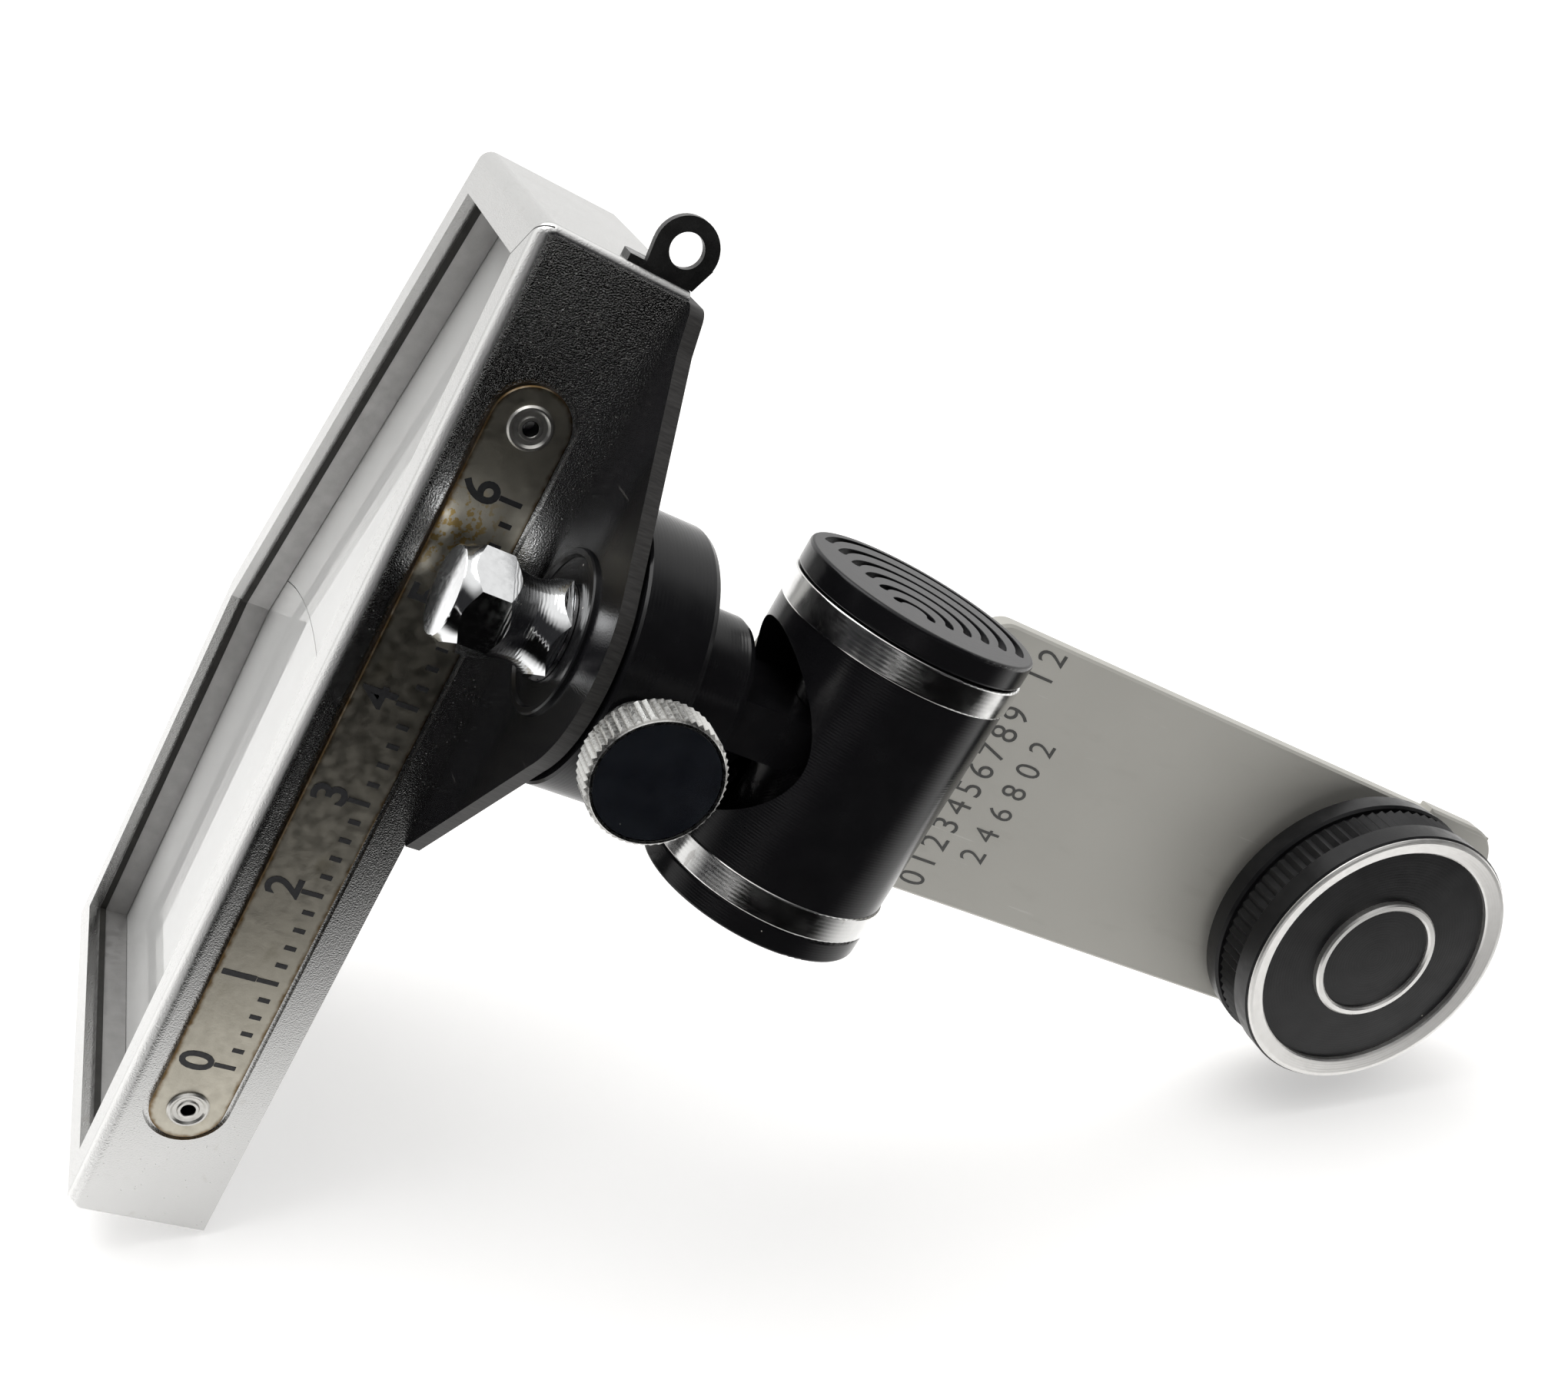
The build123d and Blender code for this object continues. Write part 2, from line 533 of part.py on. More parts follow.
def crescent_grooves(face_z):
    """Six nested half-ring grooves; each is smaller than the last and shifted towards one edge."""
    tilt = -33.3
    first_radius = 7.1
    radius_step = 1.18
    shift_step = 0.98
    grooves = []
    for i in range(GROOVES):
        radius = first_radius - i * radius_step
        shift = 0.1 - i * shift_step
        ring = Cylinder(radius + GROOVE_WIDTH / 2, 2 * GROOVE_DEPTH)
        ring -= Cylinder(radius - GROOVE_WIDTH / 2, 2 * GROOVE_DEPTH)
        ring &= Pos(0, 10, 0) * Box(40, 20, 2 * GROOVE_DEPTH)
        for side in (-1, 1):
            ring += Pos(side * radius, 0, 0) * Cylinder(GROOVE_WIDTH / 2, 2 * GROOVE_DEPTH)
        grooves.append(Pos(BARREL_X, AXIS_Y, face_z) * Rot(0, 0, tilt) * Pos(0, shift, 0) * ring)
    return grooves


def build_caps():
    low = BARREL_Z - DRUM_HALF - RING_THICK
    high = BARREL_Z + DRUM_HALF + RING_THICK
    lower = cap_blank(low - CAP_THICK, low - 0.9, low, AXLE_RADIUS)
    add("lower_cap", lower)
    start = high + CAP_GAP
    upper = cap_blank(start, high - 1, high + 1.15, AXLE_RADIUS + RUNNING_GAP)
    for groove in crescent_grooves(start + CAP_THICK):
        upper -= groove
    add("upper_cap", upper)


# ---- arm and tripod knob ----------------------------------------------------------------------------------------------------
def arm_screw(x, z, slotted):
    """A countersunk screw along Y, with its head flush in the arm's rear face."""
    rear = ARM_FRONT_Y + ARM_THICK
    head = ARM_SCREW_HEAD - ARM_SCREW_RADIUS
    length = ARM_THICK + 1.3
    profile = [(0, 0), (ARM_SCREW_HEAD, 0), (ARM_SCREW_RADIUS, head), (ARM_SCREW_RADIUS, length), (0, length)]
    seat = Plane(origin=(x, rear, z), x_dir=(1, 0, 0), z_dir=(0, -1, 0))
    screw = turned(profile, seat)
    if slotted:
        screw -= Pos(x, rear, z) * Rot(0, 25, 0) * Box(4, 0.7, 0.4)
    return screw


def build_arm():
    wide = Pos((ARM_SHOULDER_X + ARM_END_X) / 2 - 1, ARM_FRONT_Y + ARM_THICK / 2, BARREL_Z)
    wide = wide * Box(ARM_END_X - ARM_SHOULDER_X - 2, ARM_THICK, 2 * ARM_HALF_WIDTH)
    shoulder_corners = wide.edges().filter_by(Axis.Y).group_by(Axis.X)[0]
    wide = fillet(shoulder_corners, 2.0)
    head = Pos((ARM_HEAD_START_X + ARM_END_X) / 2, ARM_FRONT_Y + ARM_THICK / 2, BARREL_Z)
    head = head * Box(ARM_END_X - ARM_HEAD_START_X, ARM_THICK, 2 * ARM_HEAD_HALF_WIDTH)
    end_corners = head.edges().filter_by(Axis.Y).group_by(Axis.X)[-1]
    head = fillet(end_corners, ARM_END_ROUND)
    neck_end = ARM_SHOULDER_X + 1
    neck = Pos((ARM_START_X + neck_end) / 2, ARM_FRONT_Y + ARM_THICK / 2, BARREL_Z)
    neck = neck * Box(neck_end - ARM_START_X, ARM_THICK, 2 * ARM_NECK_HALF)
    arm = wide + head + neck
    rims = arm.faces().sort_by(Axis.Y)[0].edges() + arm.faces().sort_by(Axis.Y)[-1].edges()
    arm = chamfer(rims, 0.2)
    for x, z in ARM_SCREWS:
        arm -= arm_screw(x, z, False)
    rear = ARM_FRONT_Y + ARM_THICK
    arm -= y_cylinder(TRIPOD_SCREW_RADIUS + RUNNING_GAP, ARM_FRONT_Y - 1, rear + 1, KNOB_X, BARREL_Z)
    arm -= y_cylinder(CLIP_SEAT_RADIUS, rear - CLIP_SEAT_DEPTH, rear + 1, KNOB_X, BARREL_Z)
    add("arm_plate", arm)
    add("arm_screws", Compound(children=[arm_screw(x, z, True) for x, z in ARM_SCREWS]))


def y_turned(profile):
    """Revolve (radius, y) points about the tripod knob's axis."""
    seat = Plane(origin=(KNOB_X, 0, BARREL_Z), x_dir=(1, 0, 0), z_dir=(0, 1, 0))
    return turned(profile, seat)


def build_tripod_knob():
    face = KNOB_FACE_Y
    lip_end = face + 2.1
    knurl_end = face + 4.4
    disc_start = face + 4.8
    recess = face + 0.75
    back_radius = KNOB_RADIUS - 1.2
    profile = [
        (0, KNOB_BACK_Y),
        (back_radius, KNOB_BACK_Y),
        (KNOB_RADIUS - 0.1, KNOB_BACK_Y - 0.9),
        (KNOB_RADIUS, disc_start + 0.2),
        (KNOB_RADIUS - 0.2, disc_start),
        (KNOB_RADIUS - 0.55, disc_start),
        (KNOB_RADIUS - 0.55, knurl_end),
        (KNOB_RADIUS - 0.5, knurl_end),
        (KNOB_RADIUS - 0.5, lip_end),
        (KNOB_RADIUS - 0.1, lip_end),
        (KNOB_RADIUS, lip_end - 0.1),
        (KNOB_RADIUS, face + 0.35),
        (RING_OUTER, face + 0.2),
        (RING_OUTER, recess),
        (0, recess),
    ]
    body = y_turned(profile)
    knurl = knurled(KNOB_RADIUS - 0.12, 0.28, KNURL_TEETH, knurl_end - lip_end)
    seat = Plane(origin=(KNOB_X, lip_end, BARREL_Z), x_dir=(1, 0, 0), z_dir=(0, 1, 0))
    body += seat.location * knurl
    body -= y_cylinder(INNER_RING_OUTER, face - 1, recess + 0.35, KNOB_X, BARREL_Z)
    body -= y_cylinder(TRIPOD_SCREW_RADIUS, recess + 1.5, KNOB_BACK_Y + 1, KNOB_X, BARREL_Z)
    add("knob_disc", body)
    outer = [
        (RING_INNER, recess),
        (RING_OUTER, recess),
        (RING_OUTER, face + 0.12),
        (RING_OUTER - 0.12, face),
        (RING_OUTER - 0.35, face),
        (RING_INNER + 0.12, face + 0.28),
        (RING_INNER, face + 0.4),
    ]
    add("knob_outer_ring", y_turned(outer))
    inner = [
        (INNER_RING_INNER, recess + 0.35),
        (INNER_RING_OUTER, recess + 0.35),
        (INNER_RING_OUTER, face + 0.3),
        (INNER_RING_OUTER - 0.15, face + 0.15),
        (INNER_RING_INNER + 0.15, face + 0.15),
        (INNER_RING_INNER, face + 0.3),
    ]
    add("knob_inner_ring", y_turned(inner))
    add("knob_centre_disc", y_cylinder(INNER_RING_INNER, face + 0.5, recess + 0.35, KNOB_X, BARREL_Z))


def build_tripod_screw():
    """Screw behind the knob, the spring clip that keeps it in the arm, and the washer under the knob."""
    arm_rear = ARM_FRONT_Y + ARM_THICK
    groove_start = arm_rear - 0.75
    groove_end = arm_rear - 0.15
    start = KNOB_FACE_Y + 0.75 + 1.5
    radius = TRIPOD_SCREW_RADIUS
    profile = [
        (0, start),
        (radius, start),
        (radius, groove_start),
        (radius - 0.6, groove_start),
        (radius - 0.6, groove_end),
        (radius, groove_end),
        (radius, TRIPOD_SCREW_END_Y - 0.6),
        (radius - 0.6, TRIPOD_SCREW_END_Y),
        (0, TRIPOD_SCREW_END_Y),
    ]
    add("tripod_screw", y_turned(profile))
    clip = y_cylinder(radius + 1.3, groove_start + 0.05, groove_end - 0.05, KNOB_X, BARREL_Z)
    clip -= y_cylinder(radius - 0.6, groove_start - 1, groove_end + 1, KNOB_X, BARREL_Z)
    clip -= Pos(KNOB_X, groove_start, BARREL_Z - 4) * Box(3.6, 4, 8)
    add("screw_clip", clip)
    washer = y_cylinder(7.5, KNOB_BACK_Y + 0.05, ARM_FRONT_Y, KNOB_X, BARREL_Z)
    washer -= y_cylinder(radius + RUNNING_GAP, KNOB_BACK_Y - 1, ARM_FRONT_Y + 1, KNOB_X, BARREL_Z)
    add("knob_washer", washer)


# ---- the way it stands -------------------------------------------------------------------------------------------------------------
def lean_angle():
    """Lean that puts the frame's bottom rear edge and the arm's round end corner on one level surface."""
    along = ARM_END_X - ARM_END_ROUND - FRAME_DEPTH
    up = BARREL_Z - ARM_HEAD_HALF_WIDTH + ARM_END_ROUND
    distance = hypot(along, up)
    return degrees(atan2(up, along)) - degrees(asin(ARM_END_ROUND / distance))


def build_all():
    build_window()
    build_nameplate()
    build_bracket()
    build_lug()
    build_boss()
    build_shaft()
    build_hex_knob()
    build_clamp_screw()
    build_barrel()
    build_caps()
    build_arm()
    build_tripod_knob()
    build_tripod_screw()


def standing_place():
    """Location that leans the model and puts the middle of its footprint box at the origin."""
    lean = Rot(0, lean_angle(), 0)
    box = Compound(children=[lean * part for part in PARTS.values()]).bounding_box()
    middle_x = (box.min.X + box.max.X) / 2
    middle_y = (box.min.Y + box.max.Y) / 2
    return Pos(-middle_x, -middle_y, -box.min.Z) * lean


build_all()
PLACE = standing_place()
os.makedirs("parts", exist_ok=True)
for node, shape in PARTS.items():
    export_step(PLACE * shape, f"parts/{node}.step")
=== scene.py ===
"""Looks of the close-up attachment: materials, thin raised marks, the tripod screw's thread,
and the studio it is shown in.

Places are given in design millimetres: X through the window from front to rear, Y across it away from
the nameplate, Z along its long side.  PLACE turns them into the standing part's frame, in metres.
"""
import json
from math import cos, pi, radians, sin

import bpy
from mathutils import Matrix, Vector


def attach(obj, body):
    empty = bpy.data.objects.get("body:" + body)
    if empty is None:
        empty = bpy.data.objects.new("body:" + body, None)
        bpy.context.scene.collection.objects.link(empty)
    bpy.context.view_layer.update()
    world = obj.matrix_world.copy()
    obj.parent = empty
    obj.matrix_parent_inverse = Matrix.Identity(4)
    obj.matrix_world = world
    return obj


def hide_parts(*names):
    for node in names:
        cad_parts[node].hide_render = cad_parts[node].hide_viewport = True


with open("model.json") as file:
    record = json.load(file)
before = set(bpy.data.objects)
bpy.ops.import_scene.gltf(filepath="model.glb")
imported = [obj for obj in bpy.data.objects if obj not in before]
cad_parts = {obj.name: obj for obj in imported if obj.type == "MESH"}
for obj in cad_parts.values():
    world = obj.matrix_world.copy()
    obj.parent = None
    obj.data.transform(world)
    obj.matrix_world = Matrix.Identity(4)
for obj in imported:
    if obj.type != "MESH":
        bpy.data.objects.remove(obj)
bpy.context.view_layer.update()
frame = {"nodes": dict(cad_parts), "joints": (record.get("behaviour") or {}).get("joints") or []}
NODES = frame["nodes"]
JOINTS = {joint["name"]: joint for joint in frame["joints"]}

# ---- design directions ---------------------------------------------------------------------------
MM = 0.001
DEPTH = Vector(JOINTS["swivel_turn"]["axis"])      # design X
ACROSS = Vector((0, 1, 0))                         # design Y
ALONG = Vector(JOINTS["arm_tilt"]["axis"])         # design Z
HINGE = Vector(JOINTS["arm_tilt"]["pos_m"])        # the barrel's centre in the standing frame, in metres
HINGE_DESIGN = Vector((31.2, -5.7, 54.6))          # the same point in design millimetres
TURN = Matrix((DEPTH, ACROSS, ALONG)).transposed()
PLACE = (Matrix.Translation(HINGE) @ TURN.to_4x4() @ Matrix.Scale(MM, 4)
         @ Matrix.Translation(-HINGE_DESIGN))

# ---- places on the part, in design millimetres ---------------------------------------------------
FRAME_LENGTH = 76.0
SEAM_HALF_WIDTH = 0.07         # the folded frame's seam, seen near its top front corner only
SEAM_END_Y = 3.2
SEAM_END_X = 0.9
NAMEPLATE_X = 4.75             # middle of the plate
NAMEPLATE_FACE_Y = -0.22
NAMEPLATE_ENDS = (10.9, 64.7)  # design Z of the two eyelets, where the round ends are centred
NAMEPLATE_BROWN = (2.45, 2.85)  # the plate turns brown between these distances from its middle line
# inside this radius the eyelets' tubes are coloured black as painted shade
EYELET_HOLE_RADIUS = 0.5
BOSS_AXIS = (-5.7, 55.15)      # design Y and Z of the swivel axis
BARREL_AXIS = (31.2, -5.7)     # design X and Y of the hinge axis
KNOB_AXIS = (84.5, 54.6)       # design X and Z of the tripod knob's axis
CLAMP_AXIS = (13.5, 54.3)      # design X and Z of the clamp screw's axis
ARM_FACE_Y = 0.8
WORN_SPOT = (3.3, 57.0)        # design X and Z of the corroded patch on the nameplate
HEX_BAND_END_X = 5.65          # the hex knob is turned to a waist behind this depth
CLAMP_RIM_RADIUS = 3.88        # the clamp wheel's valleys, darkened as painted shade, lie outside this radius
CLAMP_VALLEY = (3.92, 4.02)    # the painted shade in the valleys thins out between these radii
CAP_FACE_RADIUS = 7.95         # the grip cap's satin, grooved face
CAP_FACE_DEPTH = (0.02, 0.1)   # satin ends between these depths below the cap's top
CAP_GROOVE_DEPTH = (0.3, 0.38)  # the grooves' floors darken between these depths
MARK_THICKNESS = 0.03

# nameplate scale
SCALE_FIRST_Z = 15.0
SCALE_LAST_Z = 60.0
SCALE_STEP = 1.5
SCALE_TICKS_PER_NUMERAL = 5
TICK_WIDTH = 0.34
LONG_TICK = 1.5
SHORT_TICK = 0.8
TICK_END_X = NAMEPLATE_X + 1.75
SCALE_NUMERAL_X = NAMEPLATE_X - 0.85
SCALE_NUMERAL_HEIGHT = 3.3
SCALE_NUMERAL_WEIGHT = 0.018

# rows of numerals on the arm: X of the row, Z of its first and last place, height, numerals
ARM_ROWS = (
    (47.3, 44.9, 64.6, 3.4, "0123456789 12"),
    (51.0, 48.2, 58.0, 3.2, "246802"),
)
ARM_NUMERAL_WEIGHT = -0.004
ARM_NUMERAL_NARROW = 0.7
ARM_MARK_SINK = 0.005          # how far the marks sit into the arm's face

# tripod screw, along design Y
THREAD_PITCH = 25.4 / 20
THREAD_RADIUS = 3.175
THREAD_DEPTH = 0.72
THREAD_CREST = 0.12            # flat crest and flat root, each as a part of half a pitch
SCREW_START_Y = -4.85
SCREW_GROOVE_Y = 1.75
SCREW_GROOVE_DEPTH = 0.6
SCREW_THREAD_Y = 2.35
SCREW_END_Y = 8.3
THREAD_FADE = 0.8              # the thread grows to full depth over this length
SCREW_CHAMFER = 0.75
SCREW_AROUND = 64              # points round the screw, and rings along its thread
SCREW_RINGS = 150

# ---- finish, studio and camera -------------------------------------------------------------------
NOISE_SPAN = (0.3, 0.7)         # nearly all of a noise texture's values lie in here
DUST = (0.55, 0.52, 0.47)
DUST_SPACING = 0.9              # millimetres
DUST_SIZE = 0.075
DULL = 0.3                      # specular level of the black finishes
EDGE_ROUND = 0.12               # millimetres, on the sharp edges of the sheet pieces

WHITE = (1.0, 0.995, 0.985, 1)
DIM = (0.025, 0.025, 0.027, 1)  # the room in front of the object
FLOOR_SIZE = 4.0                # studio sizes in metres
FLOOR_GLOW = 0.42
CARD_WIDTH = 1.2
CARD_DEPTH = 0.9
CARD_LIFT = 0.0005
CARD_DARK_Y = -0.055            # the card is black in front of this and clear behind the next
CARD_CLEAR_Y = -0.015
OVERHEAD_SIZE = 0.5
OVERHEAD_POWER = 1.4            # watts
OVERHEAD_AT = (-0.12, 0.10, 0.55)
OVERHEAD_TARGET = (0.0, 0.0, 0.03)

CAMERA_AT = (-27.44, -99.42, 87.62)       # design millimetres
CAMERA_TARGET = (25.88, -5.0, 51.62)
CAMERA_ROLL = 3.36                        # degrees
CAMERA_LENS = 40.08                       # millimetres, on a sensor 36 mm wide
CAMERA_SHIFT = (0.027, 0.0353)


def place(x, y, z):
    """A design point in the standing frame."""
    return PLACE @ Vector((x, y, z))


# ---- shader helper -------------------------------------------------------------------------------
class Paint:
    """Builds one node material around a Principled shader, with coordinates in design millimetres."""

    def __init__(self, name, **fixed):
        self.material = bpy.data.materials.new(name)
        self.material.use_nodes = True
        self.tree = self.material.node_tree
        self.tree.nodes.clear()
        self.shader = self.tree.nodes.new("ShaderNodeBsdfPrincipled")
        output = self.tree.nodes.new("ShaderNodeOutputMaterial")
        self.tree.links.new(self.shader.outputs[0], output.inputs[0])
        for key, value in fixed.items():
            self.shader.inputs[key.replace("_", " ")].default_value = value
        coordinates = self.tree.nodes.new("ShaderNodeTexCoord")
        to_design = TURN.transposed()
        mapping = self.tree.nodes.new("ShaderNodeMapping")
        mapping.inputs["Scale"].default_value = (1 / MM,) * 3
        mapping.inputs["Rotation"].default_value = to_design.to_euler()
        mapping.inputs["Location"].default_value = HINGE_DESIGN - (to_design @ HINGE) / MM
        self.tree.links.new(coordinates.outputs["Object"], mapping.inputs["Vector"])
        self.point = mapping.outputs[0]
        split = self.tree.nodes.new("ShaderNodeSeparateXYZ")
        self.tree.links.new(self.point, split.inputs[0])
        self.x, self.y, self.z = split.outputs

    def put(self, value, socket):
        """Connects a socket, or sets a plain value."""
        if isinstance(value, bpy.types.NodeSocket):
            self.tree.links.new(value, socket)
        else:
            socket.default_value = value

    def math(self, operation, a, b=0.0):
        """One math node on sockets or plain numbers."""
        node = self.tree.nodes.new("ShaderNodeMath")
        node.operation = operation
        self.put(a, node.inputs[0])
        self.put(b, node.inputs[1])
        return node.outputs[0]

    def spread(self, value, low, high, to_low=0.0, to_high=1.0):
        """Smoothly maps low..high to to_low..to_high."""
        node = self.tree.nodes.new("ShaderNodeMapRange")
        node.interpolation_type = "SMOOTHSTEP"
        self.put(value, node.inputs["Value"])
        node.inputs["From Min"].default_value = low
        node.inputs["From Max"].default_value = high
        node.inputs["To Min"].default_value = to_low
        node.inputs["To Max"].default_value = to_high
        return node.outputs[0]

    def noise(self, scale, detail=2.0, stretch=(1, 1, 1), roughness=0.5):
        """Noise with about scale features per millimetre."""
        vector = self.point
        if stretch != (1, 1, 1):
            mapping = self.tree.nodes.new("ShaderNodeMapping")
            mapping.inputs["Scale"].default_value = stretch
            self.put(vector, mapping.inputs["Vector"])
            vector = mapping.outputs[0]
        node = self.tree.nodes.new("ShaderNodeTexNoise")
        node.inputs["Scale"].default_value = scale
        node.inputs["Detail"].default_value = detail
        node.inputs["Roughness"].default_value = roughness
        self.put(vector, node.inputs["Vector"])
        return node.outputs["Fac"]

    def specks(self, spacing, size, share):
        """Mask of small round flecks: spacing in millimetres, size as a part of it, share of cells used."""
        node = self.tree.nodes.new("ShaderNodeTexVoronoi")
        node.inputs["Scale"].default_value = 1 / spacing
        self.put(self.point, node.inputs["Vector"])
        near = self.math("LESS_THAN", node.outputs["Distance"], size)
        pick = self.tree.nodes.new("ShaderNodeSeparateColor")
        self.put(node.outputs["Color"], pick.inputs[0])
        return self.math("MULTIPLY", near, self.math("LESS_THAN", pick.outputs[0], share))

    def mix(self, factor, a, b):
        """Colour mix of a and b."""
        node = self.tree.nodes.new("ShaderNodeMix")
        node.data_type = "RGBA"
        self.put(factor, node.inputs["Factor"])
        self.put(rgba(a) if isinstance(a, tuple) else a, node.inputs["A"])
        self.put(rgba(b) if isinstance(b, tuple) else b, node.inputs["B"])
        return node.outputs["Result"]

    def distance(self, a, a0, b, b0):
        """Distance from the line a = a0, b = b0."""
        da = self.math("SUBTRACT", a, a0)
        db = self.math("SUBTRACT", b, b0)
        square = self.math("ADD", self.math("MULTIPLY", da, da), self.math("MULTIPLY", db, db))
        return self.math("SQRT", square)

    def facing(self, direction):
        """How far the surface faces a direction of the part: 1 towards it, -1 away from it."""
        geometry = self.tree.nodes.new("ShaderNodeNewGeometry")
        turn = self.tree.nodes.new("ShaderNodeVectorTransform")
        turn.vector_type = "NORMAL"
        turn.convert_from = "WORLD"
        turn.convert_to = "OBJECT"
        self.put(geometry.outputs["Normal"], turn.inputs[0])
        dot = self.tree.nodes.new("ShaderNodeVectorMath")
        dot.operation = "DOT_PRODUCT"
        self.put(turn.outputs[0], dot.inputs[0])
        dot.inputs[1].default_value = direction
        return dot.outputs["Value"]

    def lines(self, value, per_mm, wobble=0.25):
        """Turning marks: fine waves of uneven height along a value in millimetres."""
        uneven = self.math("MULTIPLY", self.noise(0.8, 2), wobble)
        shifted = self.math("ADD", value, uneven)
        fine = self.math("SINE", self.math("MULTIPLY", shifted, 2 * pi * per_mm))
        coarse = self.math("SINE", self.math("MULTIPLY", value, 2 * pi * per_mm * 0.37))
        return self.math("ADD", fine, self.math("MULTIPLY", coarse, 0.6))

    def bump(self, height, distance_mm, strength=1.0):
        """Adds relief; calls chain."""
        node = self.tree.nodes.new("ShaderNodeBump")
        node.inputs["Strength"].default_value = strength
        node.inputs["Distance"].default_value = distance_mm * MM
        self.put(height, node.inputs["Height"])
        normal = self.shader.inputs["Normal"]
        if normal.is_linked:
            self.put(normal.links[0].from_socket, node.inputs["Normal"])
        self.tree.links.new(node.outputs[0], normal)

    def colour(self, value):
        """Sets the base colour."""
        self.put(rgba(value) if isinstance(value, tuple) else value, self.shader.inputs["Base Color"])

    def rough(self, value):
        """Sets the roughness."""
        self.put(value, self.shader.inputs["Roughness"])

    def cloudy_colour(self, scale, detail, a, b):
        """Base colour that drifts between a and b with a noise."""
        self.colour(self.mix(self.noise(scale, detail), a, b))

    def cloudy_rough(self, scale, detail, low, high):
        """Roughness that drifts between low and high with a noise."""
        self.rough(self.spread(self.noise(scale, detail), *NOISE_SPAN, low, high))

    def use(self, *names):
        """Paints CAD nodes."""
        for name in names:
            data = NODES[name].data
            data.materials.clear()
            data.materials.append(self.material)


def rgba(colour):
    """A colour with full opacity."""
    return (*colour[:3], 1.0)


# ---- metals --------------------------------------------------------------------------------------
def satin_chrome():
    """Fine pebbled satin chrome of the folded frame, with a painted highlight in near-white on the rounded
    edges of the near wall, and a hairline seam at the top near corner.
    """
    paint = Paint("satin_chrome", Metallic=1.0)
    cloud = paint.noise(0.12, 3)
    sparkle = paint.specks(0.28, 0.16, 0.25)
    near = paint.math("MULTIPLY", paint.facing(ACROSS), -1.0)
    turned_in = paint.spread(near, 0.2, 0.45)
    not_flat = paint.spread(near, 0.86, 0.98, 1.0, 0.0)
    rounded = paint.math("MULTIPLY", turned_in, not_flat)
    grain = paint.math("MAXIMUM", paint.math("MULTIPLY", sparkle, 0.3),
                       paint.math("MULTIPLY", rounded, 0.25))
    paint.rough(paint.math("ADD", paint.spread(cloud, *NOISE_SPAN, 0.19, 0.25), grain))
    clean = paint.mix(cloud, (0.55, 0.55, 0.545), (0.63, 0.63, 0.62))
    grime = paint.spread(paint.noise(0.7, 4), 0.62, 0.8, 0.0, 0.35)
    worn = paint.mix(grime, clean, (0.42, 0.40, 0.36))
    seam = paint.math("ABSOLUTE", paint.math("SUBTRACT", paint.math("ADD", paint.y, paint.z), FRAME_LENGTH))
    on_line = paint.math("LESS_THAN", seam, SEAM_HALF_WIDTH)
    near_corner = paint.math("MULTIPLY", paint.math("LESS_THAN", paint.y, SEAM_END_Y),
                             paint.math("LESS_THAN", paint.x, SEAM_END_X))
    # painted highlight: the rounded edges of the near wall are coloured near-white, standing in for the
    # light they catch
    bright = paint.mix(rounded, worn, (0.92, 0.92, 0.91))
    paint.colour(paint.mix(paint.math("MULTIPLY", on_line, near_corner), bright, (0.05, 0.05, 0.05)))
    paint.bump(paint.noise(9.0, 1), 0.022)
    paint.bump(paint.noise(2.5, 2), 0.006)
    paint.use("frame_shell")


def back_plate_metal():
    """Bare sheet of the retaining plate, with faint rolling marks."""
    paint = Paint("back_plate_metal", Metallic=1.0)
    cloud = paint.noise(0.3, 4)
    paint.rough(paint.spread(cloud, *NOISE_SPAN, 0.34, 0.5))
    paint.colour(paint.mix(cloud, (0.52, 0.52, 0.52), (0.66, 0.66, 0.66)))
    paint.bump(paint.noise(3.0, 3, (1, 0.08, 1)), 0.01)
    paint.use("back_plate")


def aged_nickel():
    """Warm nickel of the nameplate: brown along its edge, with dark stains and one corroded patch."""
    paint = Paint("aged_nickel", Metallic=1.0)
    low, high = NAMEPLATE_ENDS
    along = paint.math("MAXIMUM", paint.math("SUBTRACT", low, paint.z),
                       paint.math("SUBTRACT", paint.z, high))
    beyond = paint.math("MAXIMUM", along, 0.0)
    aside = paint.math("SUBTRACT", paint.x, NAMEPLATE_X)
    square = paint.math("ADD", paint.math("MULTIPLY", aside, aside), paint.math("MULTIPLY", beyond, beyond))
    from_middle = paint.math("SQRT", square)
    ragged = paint.math("ADD", from_middle, paint.math("MULTIPLY", paint.noise(1.5, 4), 0.45))
    edge = paint.spread(ragged, *NAMEPLATE_BROWN)
    stain = paint.spread(paint.noise(0.45, 5, (1, 1, 0.6)), 0.58, 0.75, 0.0, 0.6)
    clean = paint.mix(paint.noise(2.0, 4), (0.46, 0.43, 0.36), (0.58, 0.55, 0.47))
    stained = paint.mix(stain, clean, (0.30, 0.27, 0.20))
    from_spot = paint.distance(paint.x, WORN_SPOT[0], paint.z, WORN_SPOT[1])
    worn_spot = paint.spread(from_spot, 1.2, 4.0, 1.0, 0.0)
    eaten = paint.math("MULTIPLY", worn_spot, paint.spread(paint.noise(2.6, 5), 0.52, 0.6))
    corroded = paint.mix(eaten, stained, (0.42, 0.30, 0.12))
    paint.colour(paint.mix(edge, corroded, (0.16, 0.10, 0.04)))
    paint.cloudy_rough(1.2, 4, 0.30, 0.44)
    paint.bump(paint.noise(9.0, 3), 0.006)
    paint.bump(paint.noise(1.6, 3), 0.02, 0.5)
    paint.use("nameplate")


